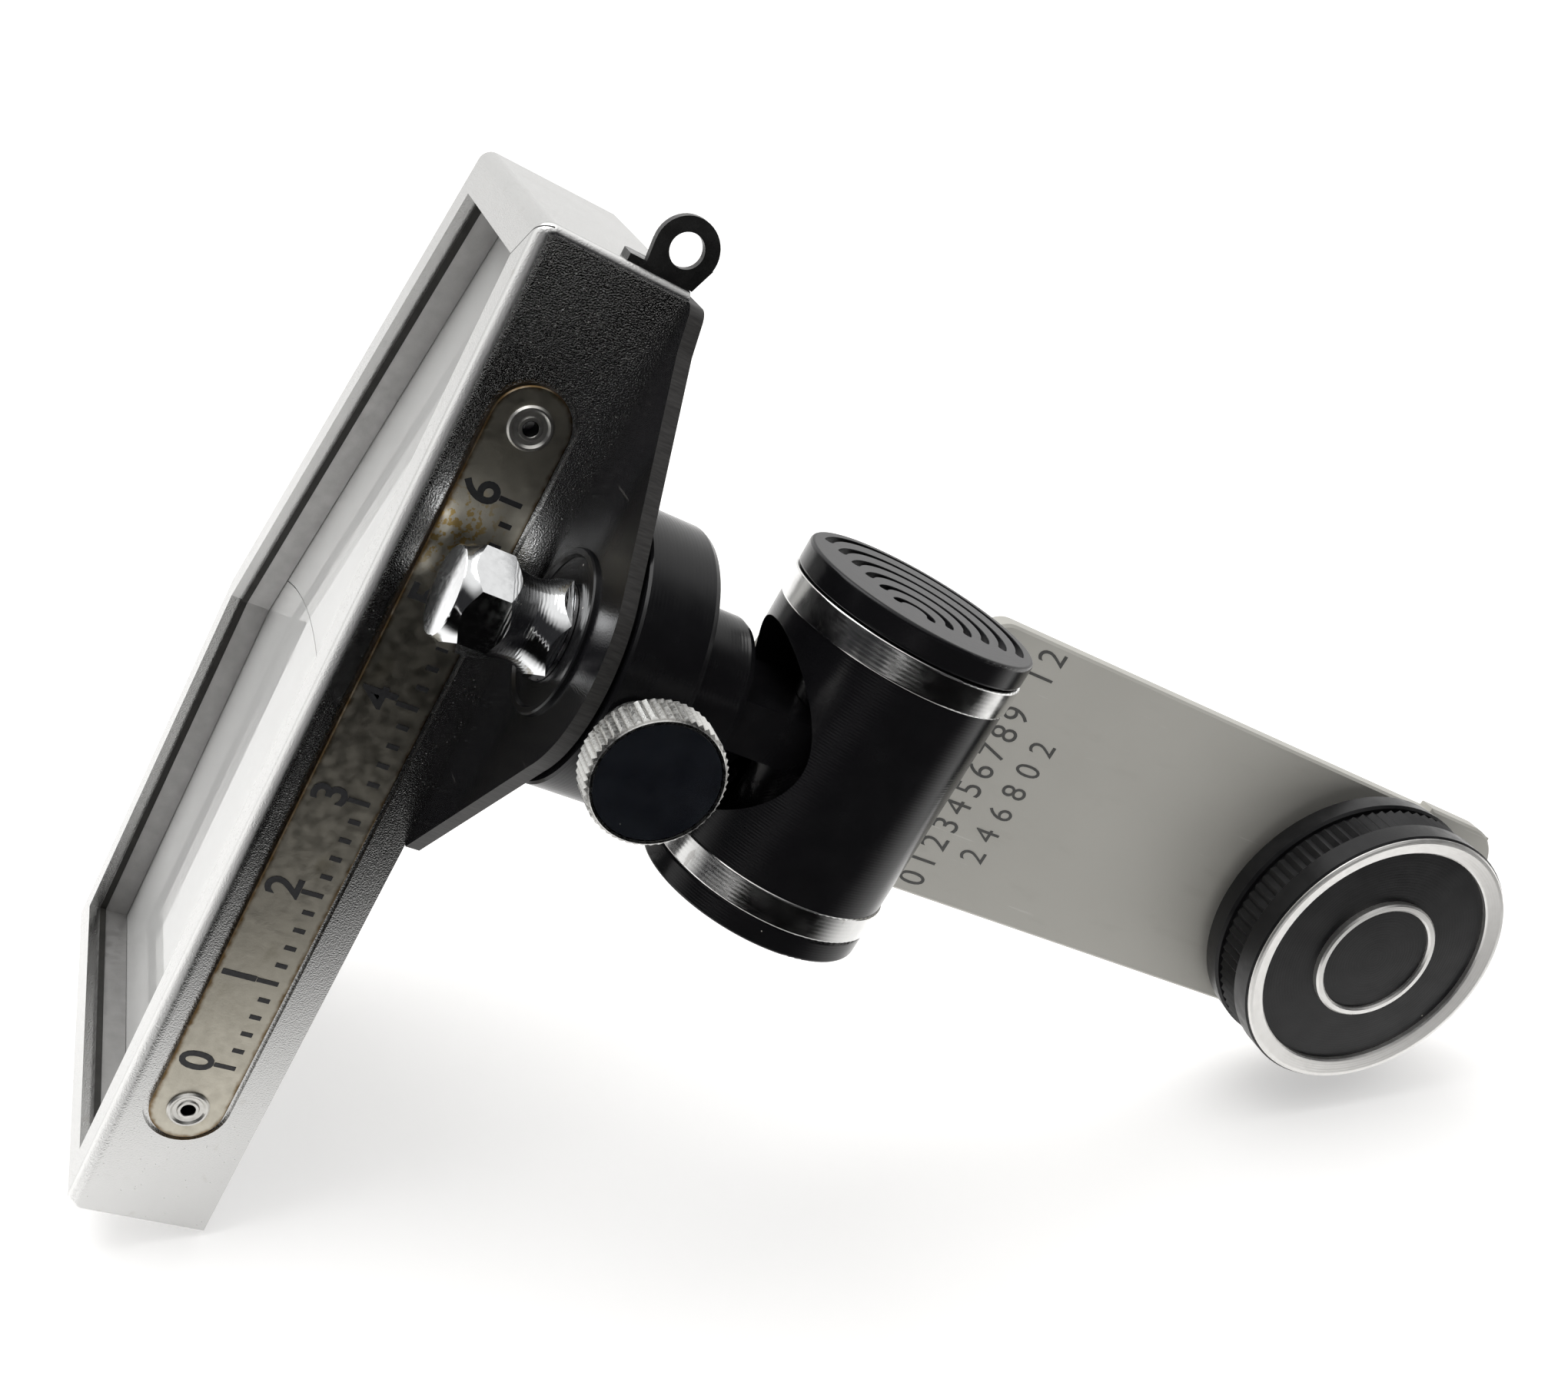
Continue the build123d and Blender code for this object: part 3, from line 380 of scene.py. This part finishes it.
def bright_nickel():
    """The eyelets: worn bright metal round a hole whose inner wall is coloured black as painted shade."""
    paint = Paint("bright_nickel", Metallic=1.0)
    low, high = (paint.distance(paint.x, NAMEPLATE_X, paint.z, end) for end in NAMEPLATE_ENDS)
    # painted shade: inside the hole radius the eyelet's tube is coloured black, so the hole looks dark
    hole = paint.math("LESS_THAN", paint.math("MINIMUM", low, high), EYELET_HOLE_RADIUS)
    metal = paint.mix(paint.noise(3.0, 4), (0.55, 0.54, 0.51), (0.74, 0.73, 0.70))
    paint.colour(paint.mix(hole, metal, (0.01, 0.01, 0.01)))
    paint.cloudy_rough(2.0, 3, 0.3, 0.4)
    paint.bump(paint.noise(3.0, 3), 0.002)
    paint.use("nameplate_eyelets")


def bright_chrome():
    """Chrome of the hex knob, with turning marks across its axis."""
    paint = Paint("bright_chrome", Metallic=1.0)
    paint.cloudy_colour(1.5, 3, (0.74, 0.75, 0.76), (0.84, 0.85, 0.86))
    paint.cloudy_rough(2.5, 3, 0.07, 0.16)
    waist = paint.spread(paint.x, HEX_BAND_END_X, HEX_BAND_END_X + 0.3)
    paint.bump(paint.math("MULTIPLY", paint.lines(paint.x, 4.5, 0.3), waist), 0.0022)
    paint.bump(paint.noise(0.9, 2), 0.008, 0.6)
    paint.use("hex_knob")


def clamp_chrome():
    """The clamp screw's chrome: dull, with painted shade in the valleys between the teeth."""
    paint = Paint("clamp_chrome", Metallic=1.0)
    reach = paint.distance(paint.x, CLAMP_AXIS[0], paint.z, CLAMP_AXIS[1])
    valley = paint.spread(reach, *CLAMP_VALLEY, 0.7, 0.0)
    on_rim = paint.math("MULTIPLY", valley, paint.math("GREATER_THAN", reach, CLAMP_RIM_RADIUS))
    # painted shade: the valleys between the teeth are coloured darker
    paint.colour(paint.mix(on_rim, (0.74, 0.74, 0.72), (0.36, 0.35, 0.33)))
    paint.cloudy_rough(3.0, 3, 0.2, 0.34)
    paint.bump(paint.noise(5.0, 3), 0.012)
    paint.use("clamp_screw")


def polished_aluminium():
    """The barrel's two rings: polished, with fine turned lines and a few dark nicks."""
    paint = Paint("polished_aluminium", Metallic=1.0)
    nicks = paint.spread(paint.noise(1.1, 4, (1, 1, 0.3)), 0.66, 0.72, 0.0, 0.45)
    paint.colour(paint.mix(nicks, (0.86, 0.86, 0.85), (0.4, 0.38, 0.36)))
    paint.cloudy_rough(1.0, 3, 0.14, 0.24)
    paint.bump(paint.lines(paint.z, 3.5, 0.04), 0.0007)
    paint.use("upper_ring", "lower_ring")


def grey_nickel():
    """The arm's satin nickel plating, with faint smears and scratches."""
    paint = Paint("grey_nickel", Metallic=0.15, Specular_IOR_Level=0.35)
    cloud = paint.noise(0.09, 4)
    smear = paint.spread(paint.noise(0.35, 5, (0.5, 1, 1.6)), 0.55, 0.78, 0.0, 0.3)
    clean = paint.mix(cloud, (0.50, 0.49, 0.45), (0.57, 0.56, 0.52))
    smeared = paint.mix(smear, clean, (0.42, 0.41, 0.37))
    scratch = paint.spread(paint.noise(0.9, 6, (0.12, 1, 2.6), 0.6), 0.68, 0.72, 0.0, 0.35)
    paint.colour(paint.mix(scratch, smeared, (0.74, 0.73, 0.70)))
    paint.rough(paint.spread(cloud, *NOISE_SPAN, 0.48, 0.58))
    paint.bump(paint.noise(8.0, 2), 0.008)
    paint.use("arm_plate")


def white_metal():
    """Polished bright rings in the tripod knob's face."""
    paint = Paint("white_metal", Metallic=0.9)
    paint.cloudy_colour(1.3, 4, (0.90, 0.89, 0.86), (0.97, 0.96, 0.94))
    paint.cloudy_rough(2.0, 3, 0.28, 0.38)
    reach = paint.distance(paint.x, KNOB_AXIS[0], paint.z, KNOB_AXIS[1])
    paint.bump(paint.lines(reach, 5.0, 0.05), 0.001)
    paint.use("knob_outer_ring", "knob_inner_ring")


def machined_steel():
    """Plain turned steel of the screws, the axle, the washers and the clip."""
    paint = Paint("machined_steel", Metallic=1.0)
    paint.cloudy_colour(1.5, 4, (0.40, 0.40, 0.41), (0.56, 0.56, 0.57))
    paint.cloudy_rough(2.0, 3, 0.24, 0.38)
    paint.bump(paint.noise(6.0, 3), 0.006)
    paint.use("arm_screws", "bracket_screws", "hinge_axle", "friction_washer", "hinge_washer", "screw_clip",
              "knob_thrust_washer", "tripod_screw")
    return paint


def brass():
    """Turned brass of the clamp pad."""
    paint = Paint("brass", Metallic=1.0)
    paint.cloudy_colour(1.2, 4, (0.62, 0.45, 0.20), (0.74, 0.57, 0.30))
    paint.cloudy_rough(2.0, 3, 0.24, 0.4)
    paint.bump(paint.noise(6.0, 3), 0.006)
    paint.use("clamp_pad")


# ---- blacks --------------------------------------------------------------------------------------
def dusty(paint, base, lighter, share=0.05):
    """Black finish with slight cloudiness and a few light flecks of dust, on a share of the cells."""
    cloudy = paint.mix(paint.spread(paint.noise(0.5, 2), 0.2, 0.9), base, lighter)
    flecks = paint.specks(DUST_SPACING, DUST_SIZE, share)
    paint.colour(paint.mix(flecks, cloudy, DUST))


def black_lathe():
    """Black anodising on turned pieces around the swivel axis."""
    paint = Paint("black_lathe", Specular_IOR_Level=DULL)
    dusty(paint, (0.006, 0.006, 0.007), (0.010, 0.010, 0.011))
    paint.cloudy_rough(1.0, 3, 0.2, 0.23)
    reach = paint.distance(paint.y, BOSS_AXIS[0], paint.z, BOSS_AXIS[1])
    across = paint.math("ADD", paint.x, reach)
    paint.bump(paint.lines(across, 4.0, 0.05), 0.0012)
    paint.use("boss_housing", "swivel_shaft", "lower_bush", "upper_bush")


def black_barrel():
    """Black anodising on the drum and the plain cap, with turning marks around the hinge axis."""
    paint = Paint("black_barrel", Specular_IOR_Level=DULL)
    dusty(paint, (0.006, 0.006, 0.007), (0.009, 0.009, 0.010), 0.04)
    paint.cloudy_rough(0.8, 3, 0.17, 0.19)
    reach = paint.distance(paint.x, BARREL_AXIS[0], paint.y, BARREL_AXIS[1])
    across = paint.math("ADD", paint.z, reach)
    paint.bump(paint.lines(across, 5.0, 0.04), 0.0008)
    paint.use("barrel_body", "lower_cap")


def grip_cap_black():
    """The grip cap: glossy black side, satin charcoal face with dull grooves."""
    paint = Paint("grip_cap_black", Specular_IOR_Level=DULL)
    depth = paint.math("SUBTRACT", top_z(NODES["upper_cap"]), paint.z)
    face = paint.spread(depth, *CAP_FACE_DEPTH, 1.0, 0.0)
    groove = paint.spread(depth, *CAP_GROOVE_DEPTH)
    reach = paint.distance(paint.x, BARREL_AXIS[0], paint.y, BARREL_AXIS[1])
    inside = paint.math("LESS_THAN", reach, CAP_FACE_RADIUS)
    satin = paint.mix(paint.noise(1.4, 4), (0.035, 0.035, 0.037), (0.06, 0.06, 0.062))
    gloss = paint.mix(paint.specks(DUST_SPACING, DUST_SIZE, 0.05), (0.007, 0.007, 0.008), DUST)
    faced = paint.mix(paint.math("MULTIPLY", face, inside), gloss, satin)
    paint.colour(paint.mix(paint.math("MULTIPLY", groove, inside), faced, (0.008, 0.008, 0.009)))
    paint.rough(paint.spread(face, 0.0, 1.0, 0.2, 0.42))
    paint.bump(paint.lines(reach, 5.0, 0.05), 0.001)
    paint.bump(paint.noise(9.0, 2), 0.004)
    paint.use("upper_cap")


def top_z(node):
    """Design Z of a node's highest point along the hinge axis."""
    to_design = PLACE.inverted()
    return max((to_design @ vertex.co).z for vertex in node.data.vertices)


def black_steel():
    """Glossy black bracket: sheared edges grey and rough, small scratches on the faces."""
    paint = Paint("black_steel", Specular_IOR_Level=DULL)
    flat = paint.math("ABSOLUTE", paint.facing(DEPTH))
    sheared = paint.math("LESS_THAN", flat, 0.5)
    torn = paint.mix(paint.noise(3.0, 5, (0.3, 1, 3)), (0.010, 0.010, 0.010), (0.075, 0.072, 0.07))
    scratch = paint.spread(paint.noise(1.2, 6, (1, 0.25, 2.2)), 0.66, 0.74, 0.0, 0.5)
    flecks = paint.specks(0.8, 0.09, 0.06)
    lacquer = paint.mix(scratch, (0.007, 0.007, 0.008), (0.10, 0.095, 0.09))
    dusted = paint.mix(flecks, lacquer, DUST)
    paint.colour(paint.mix(sheared, dusted, torn))
    paint.rough(paint.spread(sheared, 0.0, 1.0, 0.16, 0.5))
    paint.bump(paint.noise(4.0, 4, (0.3, 1, 3)), 0.02, 0.5)
    paint.use("bracket_plate")


def lug_black():
    """Painted black of the strap lug, with a little dust."""
    paint = Paint("lug_black", Specular_IOR_Level=DULL)
    dusty(paint, (0.008, 0.008, 0.008), (0.02, 0.02, 0.02), 0.08)
    paint.cloudy_rough(1.5, 3, 0.2, 0.34)
    paint.bump(paint.noise(4.0, 4), 0.015)
    paint.use("strap_lug")


def gloss_black():
    """The clamp screw's glossy face disc, slightly wavy and flecked with dust."""
    paint = Paint("gloss_black", Coat_Weight=0.6, Coat_Roughness=0.05)
    dusty(paint, (0.006, 0.007, 0.010), (0.012, 0.014, 0.018), 0.16)
    paint.cloudy_rough(1.5, 3, 0.1, 0.18)
    paint.bump(paint.noise(1.1, 4), 0.01, 0.6)
    paint.use("clamp_screw_face")


def knob_black():
    """Satin black of the tripod knob, lightly dusty."""
    paint = Paint("knob_black", Specular_IOR_Level=DULL)
    dusty(paint, (0.007, 0.007, 0.008), (0.016, 0.016, 0.017), 0.05)
    paint.cloudy_rough(1.0, 3, 0.28, 0.4)
    reach = paint.distance(paint.x, KNOB_AXIS[0], paint.z, KNOB_AXIS[1])
    paint.bump(paint.lines(reach, 4.0, 0.05), 0.001)
    paint.bump(paint.noise(8.0, 2), 0.005)
    paint.use("knob_disc", "knob_centre_disc")


def black_lacquer():
    """Rubbed black lacquer of the bezel round the front glasses."""
    paint = Paint("black_lacquer", Specular_IOR_Level=DULL)
    paint.cloudy_colour(0.8, 4, (0.012, 0.012, 0.011), (0.035, 0.033, 0.03))
    paint.cloudy_rough(1.5, 3, 0.34, 0.5)
    paint.bump(paint.noise(5.0, 3), 0.01)
    paint.use("lens_cell")


def window_spacers():
    """Satin grey metal of the front spacer, and the pale grey of the one behind the front glasses, which is
    painted light so the inside of the window looks bright.
    """
    metal = Paint("spacer_metal", Metallic=0.8)
    metal.cloudy_colour(0.8, 4, (0.36, 0.355, 0.35), (0.52, 0.515, 0.51))
    metal.cloudy_rough(1.5, 3, 0.3, 0.46)
    metal.bump(metal.noise(5.0, 3), 0.01)
    metal.use("front_spacer")
    # painted light: the spacer behind the front glasses is coloured pale so the inside of the window looks
    # bright
    pale = Paint("spacer_painted_light")
    pale.cloudy_colour(0.8, 4, (0.50, 0.50, 0.495), (0.66, 0.66, 0.65))
    pale.cloudy_rough(1.5, 3, 0.4, 0.6)
    pale.bump(pale.noise(5.0, 3), 0.01)
    pale.use("middle_spacer")


def fibre():
    """Brown pressed fibre of the knob's washer."""
    paint = Paint("fibre")
    paint.cloudy_colour(2.5, 5, (0.10, 0.045, 0.03), (0.2, 0.1, 0.06))
    paint.cloudy_rough(3.0, 3, 0.6, 0.8)
    paint.bump(paint.noise(6.0, 4), 0.02)
    paint.use("knob_washer")


def lens_glass():
    """Old glass under a pale haze, milkier in the two front lenses than in the rear glass."""
    glasses = (
        ("front_glass", 0.4, ("viewfinder_lens", "rangefinder_lens")),
        ("clear_glass", 0.9, ("rear_glass",)),
    )
    for name, clearness, nodes in glasses:
        paint = Paint(name, IOR=1.5, Transmission_Weight=clearness)
        paint.cloudy_colour(0.15, 4, (0.82, 0.82, 0.81), (0.93, 0.93, 0.92))
        paint.rough(paint.spread(paint.noise(0.25, 5), 0.45, 0.75, 0.02, 0.1))
        paint.use(*nodes)


def ink(name, colour):
    """Dark enamel of the thin marks, slightly uneven."""
    paint = Paint(name)
    light = tuple(channel * 1.8 + 0.01 for channel in colour)
    paint.colour(paint.mix(paint.noise(4.0, 4), colour, light))
    paint.cloudy_rough(3.0, 3, 0.4, 0.6)
    return paint.material


# ---- pieces --------------------------------------------------------------------------------------
def new_piece(name, mesh, material, body):
    """Adds a mesh, given in the standing frame, as a piece that rides on a body."""
    piece = bpy.data.objects.new(name, mesh)
    bpy.context.scene.collection.objects.link(piece)
    mesh.materials.clear()
    mesh.materials.append(material)
    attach(piece, body)
    return piece


def text_mesh(words, height, thickness, weight=0.0, narrow=1.0):
    """Flat numerals as a mesh, in millimetres, centred, reading along +X with +Y up.

    weight thickens the strokes, as a part of the height; narrow squeezes the widths.
    """
    curve = bpy.data.curves.new("words", "FONT")
    curve.body = words
    curve.size = height
    curve.align_x = "CENTER"
    curve.align_y = "CENTER"
    curve.extrude = thickness / 2
    curve.offset = weight * height
    curve.resolution_u = 4
    maker = bpy.data.objects.new("words", curve)
    bpy.context.scene.collection.objects.link(maker)
    bpy.context.view_layer.update()
    mesh = bpy.data.meshes.new_from_object(maker.evaluated_get(bpy.context.evaluated_depsgraph_get()))
    bpy.data.objects.remove(maker)
    mesh.transform(Matrix.Diagonal((narrow, 1, 1, 1)))
    return mesh


def bar_mesh(width, height, thickness):
    """A small flat bar, in millimetres, centred."""
    corners = [(sx * width / 2, sy * height / 2, sz * thickness / 2)
               for sz in (-1, 1) for sx, sy in ((-1, -1), (1, -1), (1, 1), (-1, 1))]
    faces = [(3, 2, 1, 0), (4, 5, 6, 7), (0, 1, 5, 4), (1, 2, 6, 5), (2, 3, 7, 6), (3, 0, 4, 7)]
    mesh = bpy.data.meshes.new("bar")
    mesh.from_pydata(corners, [], faces)
    return mesh


def marks(name, face_y, parts, material, body):
    """Joins marks into one piece on a surface that faces design -Y.

    Each part is a mesh with the design X and Z of its centre; marks read along +Z with their tops to -X.
    """
    reading = Matrix(((0, -1, 0), (0, 0, -1), (1, 0, 0))).to_4x4()
    points = []
    faces = []
    for mesh, x, z in parts:
        move = PLACE @ Matrix.Translation((x, face_y, z)) @ reading
        start = len(points)
        points += [move @ vertex.co for vertex in mesh.vertices]
        faces += [tuple(start + index for index in polygon.vertices) for polygon in mesh.polygons]
        bpy.data.meshes.remove(mesh)
    joined = bpy.data.meshes.new(name)
    joined.from_pydata(points, [], faces)
    return new_piece(name, joined, material, body)


def nameplate_scale():
    """A generic scale: ticks along one side of the nameplate, numerals at the long ones."""
    parts = []
    count = int((SCALE_LAST_Z - SCALE_FIRST_Z) / SCALE_STEP) + 1
    for i in range(count):
        numbered = i % SCALE_TICKS_PER_NUMERAL == 0
        length = LONG_TICK if numbered else SHORT_TICK
        z = SCALE_FIRST_Z + i * SCALE_STEP
        parts.append((bar_mesh(TICK_WIDTH, length, MARK_THICKNESS), TICK_END_X - length / 2, z))
        if numbered:
            numeral = text_mesh(str(i // SCALE_TICKS_PER_NUMERAL), SCALE_NUMERAL_HEIGHT, MARK_THICKNESS,
                                SCALE_NUMERAL_WEIGHT)
            parts.append((numeral, SCALE_NUMERAL_X, z))
    marks("nameplate_scale", NAMEPLATE_FACE_Y - MARK_THICKNESS / 2, parts,
          ink("black_enamel", (0.01, 0.01, 0.012)), "head")


def arm_marks():
    """Two generic rows of numerals across the arm beside the barrel."""
    parts = []
    for x, first_z, last_z, height, symbols in ARM_ROWS:
        pitch = (last_z - first_z) / (len(symbols) - 1)
        for i, symbol in enumerate(symbols):
            if symbol != " ":
                numeral = text_mesh(symbol, height, MARK_THICKNESS, ARM_NUMERAL_WEIGHT, ARM_NUMERAL_NARROW)
                parts.append((numeral, x, first_z + i * pitch))
    marks("arm_marks", ARM_FACE_Y - MARK_THICKNESS / 2 + ARM_MARK_SINK, parts,
          ink("grey_enamel", (0.06, 0.06, 0.058)), "arm")


def screw_radius(y, turn):
    """Radius of the screw at design depth y, at a part of a turn round it."""
    if y < SCREW_GROOVE_Y:
        return THREAD_RADIUS
    if y < SCREW_THREAD_Y:
        return THREAD_RADIUS - SCREW_GROOVE_DEPTH
    phase = ((y - SCREW_THREAD_Y) / THREAD_PITCH - turn) % 1.0
    ridge = abs(2 * phase - 1)
    cut = THREAD_DEPTH * min(max((ridge - THREAD_CREST) / (1 - 2 * THREAD_CREST), 0.0), 1.0)
    fade_in = min((y - SCREW_THREAD_Y) / THREAD_FADE, 1.0)
    lead_in = max(y - (SCREW_END_Y - SCREW_CHAMFER), 0.0)
    return min(THREAD_RADIUS - cut * fade_in, THREAD_RADIUS - lead_in)


def tripod_thread():
    """The tripod screw with its real 1/4 inch thread on the free end."""
    step_gap = 0.001      # keeps the two rings of a sharp step apart
    levels = [SCREW_START_Y, SCREW_GROOVE_Y - step_gap, SCREW_GROOVE_Y, SCREW_THREAD_Y - step_gap]
    threaded = SCREW_END_Y - SCREW_THREAD_Y
    levels += [SCREW_THREAD_Y + threaded * i / SCREW_RINGS for i in range(SCREW_RINGS + 1)]
    points = []
    faces = []
    for y in levels:
        for k in range(SCREW_AROUND):
            turn = k / SCREW_AROUND
            r = screw_radius(y, turn)
            angle = 2 * pi * turn
            points.append(place(KNOB_AXIS[0] + r * cos(angle), y, KNOB_AXIS[1] + r * sin(angle)))
    for level in range(len(levels) - 1):
        for k in range(SCREW_AROUND):
            a = level * SCREW_AROUND + k
            b = level * SCREW_AROUND + (k + 1) % SCREW_AROUND
            faces.append((a, a + SCREW_AROUND, b + SCREW_AROUND, b))
    faces.append(tuple(range(SCREW_AROUND)))
    last = (len(levels) - 1) * SCREW_AROUND
    faces.append(tuple(last + k for k in reversed(range(SCREW_AROUND))))
    mesh = bpy.data.meshes.new("tripod_thread")
    mesh.from_pydata(points, [], faces)
    mesh.validate()
    mesh.polygons.foreach_set("use_smooth", [len(p.vertices) == 4 for p in mesh.polygons])
    piece = new_piece("tripod_thread", mesh, STEEL.material, "tripod_knob")
    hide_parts("tripod_screw")


def soften(width_mm, *names):
    """Rounds the sharp edges of CAD nodes a little, so that they catch the light."""
    for name in names:
        bevel = NODES[name].modifiers.new("soft_edges", "BEVEL")
        bevel.width = width_mm * MM
        bevel.segments = 2
        bevel.limit_method = "ANGLE"
        bevel.angle_limit = radians(40)
        bevel.harden_normals = True


# ---- studio --------------------------------------------------------------------------------------
def plain_material(name, colour, roughness):
    """A material for the studio, not for the object."""
    material = bpy.data.materials.new(name)
    material.use_nodes = True
    shader = material.node_tree.nodes["Principled BSDF"]
    shader.inputs["Base Color"].default_value = rgba(colour)
    shader.inputs["Roughness"].default_value = roughness
    return material


def flat_panel(name, width, depth, matrix, material):
    """A rectangle that belongs to the studio."""
    mesh = bpy.data.meshes.new(name)
    corners = [(-width / 2, -depth / 2, 0), (width / 2, -depth / 2, 0),
               (width / 2, depth / 2, 0), (-width / 2, depth / 2, 0)]
    mesh.from_pydata([matrix @ Vector(c) for c in corners], [], [(0, 1, 2, 3)])
    mesh.materials.append(material)
    panel = bpy.data.objects.new(name, mesh)
    bpy.context.scene.collection.objects.link(panel)
    return panel


def reflection_only(panel):
    """The panel is only seen in glossy surfaces."""
    panel.visible_camera = False
    panel.visible_diffuse = False
    panel.visible_transmission = False
    panel.visible_shadow = False


def area_light(name, size, power, at, towards):
    """A round soft light that faces a point."""
    data = bpy.data.lights.new(name, "AREA")
    data.shape = "DISK"
    data.size = size
    data.energy = power
    light = bpy.data.objects.new(name, data)
    light.location = at
    light.rotation_mode = "QUATERNION"
    light.rotation_quaternion = (Vector(towards) - Vector(at)).to_track_quat("-Z", "Y")
    bpy.context.scene.collection.objects.link(light)
    return light


def world_light():
    """White sky above and behind the object, dim in front of it, and plain white to look at."""
    world = bpy.data.worlds.new("studio")
    bpy.context.scene.world = world
    world.use_nodes = True
    tree = world.node_tree
    tree.nodes.clear()
    coordinates = tree.nodes.new("ShaderNodeTexCoord")
    split = tree.nodes.new("ShaderNodeSeparateXYZ")
    tree.links.new(coordinates.outputs["Generated"], split.inputs[0])

    def ramp(socket, low, high):
        node = tree.nodes.new("ShaderNodeMapRange")
        node.interpolation_type = "SMOOTHSTEP"
        tree.links.new(socket, node.inputs["Value"])
        node.inputs["From Min"].default_value = low
        node.inputs["From Max"].default_value = high
        return node.outputs[0]

    behind = ramp(split.outputs["Y"], -0.25, 0.25)
    above = ramp(split.outputs["Z"], 0.55, 0.9)
    either = tree.nodes.new("ShaderNodeMath")
    either.operation = "MAXIMUM"
    tree.links.new(behind, either.inputs[0])
    tree.links.new(above, either.inputs[1])
    sky = tree.nodes.new("ShaderNodeMix")
    sky.data_type = "RGBA"
    tree.links.new(either.outputs[0], sky.inputs["Factor"])
    sky.inputs["A"].default_value = DIM
    sky.inputs["B"].default_value = WHITE
    path = tree.nodes.new("ShaderNodeLightPath")
    seen = tree.nodes.new("ShaderNodeMix")
    seen.data_type = "RGBA"
    tree.links.new(path.outputs["Is Camera Ray"], seen.inputs["Factor"])
    tree.links.new(sky.outputs["Result"], seen.inputs["A"])
    seen.inputs["B"].default_value = (1, 1, 1, 1)
    background = tree.nodes.new("ShaderNodeBackground")
    output = tree.nodes.new("ShaderNodeOutputWorld")
    tree.links.new(seen.outputs["Result"], background.inputs["Color"])
    background.inputs["Strength"].default_value = 1.0
    tree.links.new(background.outputs[0], output.inputs[0])


def floor_material():
    """White paper that glows a little, so that it stays white far from the lights."""
    material = plain_material("floor_paper", (0.86, 0.855, 0.85), 0.9)
    shader = material.node_tree.nodes["Principled BSDF"]
    shader.inputs["Specular IOR Level"].default_value = 0.0
    shader.inputs["Emission Color"].default_value = (1.0, 0.995, 0.99, 1)
    shader.inputs["Emission Strength"].default_value = FLOOR_GLOW
    return material


def card_material():
    """Black card, standing in for the shade on the floor in front of the object, that fades out towards the
    object.
    """
    material = plain_material("painted_shade_card", (0.002, 0.002, 0.002), 1.0)
    tree = material.node_tree
    tree.nodes["Principled BSDF"].inputs["Specular IOR Level"].default_value = 0.0
    geometry = tree.nodes.new("ShaderNodeNewGeometry")
    split = tree.nodes.new("ShaderNodeSeparateXYZ")
    tree.links.new(geometry.outputs["Position"], split.inputs[0])
    fade = tree.nodes.new("ShaderNodeMapRange")
    fade.interpolation_type = "SMOOTHSTEP"
    tree.links.new(split.outputs["Y"], fade.inputs["Value"])
    fade.inputs["From Min"].default_value = CARD_DARK_Y
    fade.inputs["From Max"].default_value = CARD_CLEAR_Y
    clear = tree.nodes.new("ShaderNodeBsdfTransparent")
    blend = tree.nodes.new("ShaderNodeMixShader")
    tree.links.new(fade.outputs[0], blend.inputs[0])
    tree.links.new(tree.nodes["Principled BSDF"].outputs[0], blend.inputs[1])
    tree.links.new(clear.outputs[0], blend.inputs[2])
    tree.links.new(blend.outputs[0], tree.nodes["Material Output"].inputs[0])
    return material


def studio():
    """White floor and sky, a dark card on the floor in front standing in for the shade there, seen only in
    reflections, and one soft light from above.
    """
    flat_panel("floor", FLOOR_SIZE, FLOOR_SIZE, Matrix.Identity(4), floor_material())
    world_light()
    card_middle = Matrix.Translation((0, CARD_CLEAR_Y - CARD_DEPTH / 2, CARD_LIFT))
    # painted shade: a black card in front of the object, seen only in reflections
    reflection_only(flat_panel("dark_card", CARD_WIDTH, CARD_DEPTH, card_middle, card_material()))
    area_light("overhead", OVERHEAD_SIZE, OVERHEAD_POWER, OVERHEAD_AT, OVERHEAD_TARGET)


# ---- camera --------------------------------------------------------------------------------------
def camera():
    """The camera, rolled a little about its view direction."""
    data = bpy.data.cameras.new("camera")
    data.lens = CAMERA_LENS
    data.sensor_width = 36.0
    data.shift_x, data.shift_y = CAMERA_SHIFT
    data.clip_start = 0.005
    data.clip_end = 20.0
    at = place(*CAMERA_AT)
    ahead = (place(*CAMERA_TARGET) - at).normalized()
    right = ahead.cross(Vector((0, 0, 1))).normalized()
    up = right.cross(ahead)
    view = Matrix((right, up, -ahead)).transposed() @ Matrix.Rotation(radians(CAMERA_ROLL), 3, "Z")
    holder = bpy.data.objects.new("camera", data)
    holder.matrix_world = Matrix.Translation(at) @ view.to_4x4()
    bpy.context.scene.collection.objects.link(holder)
    bpy.context.scene.camera = holder


def paint_everything():
    """Gives every CAD node its material, apart from the steel ones."""
    satin_chrome()
    back_plate_metal()
    aged_nickel()
    bright_nickel()
    bright_chrome()
    clamp_chrome()
    polished_aluminium()
    grey_nickel()
    white_metal()
    brass()
    black_lathe()
    black_barrel()
    grip_cap_black()
    black_steel()
    lug_black()
    gloss_black()
    knob_black()
    black_lacquer()
    window_spacers()
    fibre()
    lens_glass()


STEEL = machined_steel()
paint_everything()
nameplate_scale()
arm_marks()
tripod_thread()
soften(EDGE_ROUND, "arm_plate", "bracket_plate", "strap_lug")
studio()
camera()
bpy.context.scene.view_settings.view_transform = "Standard"
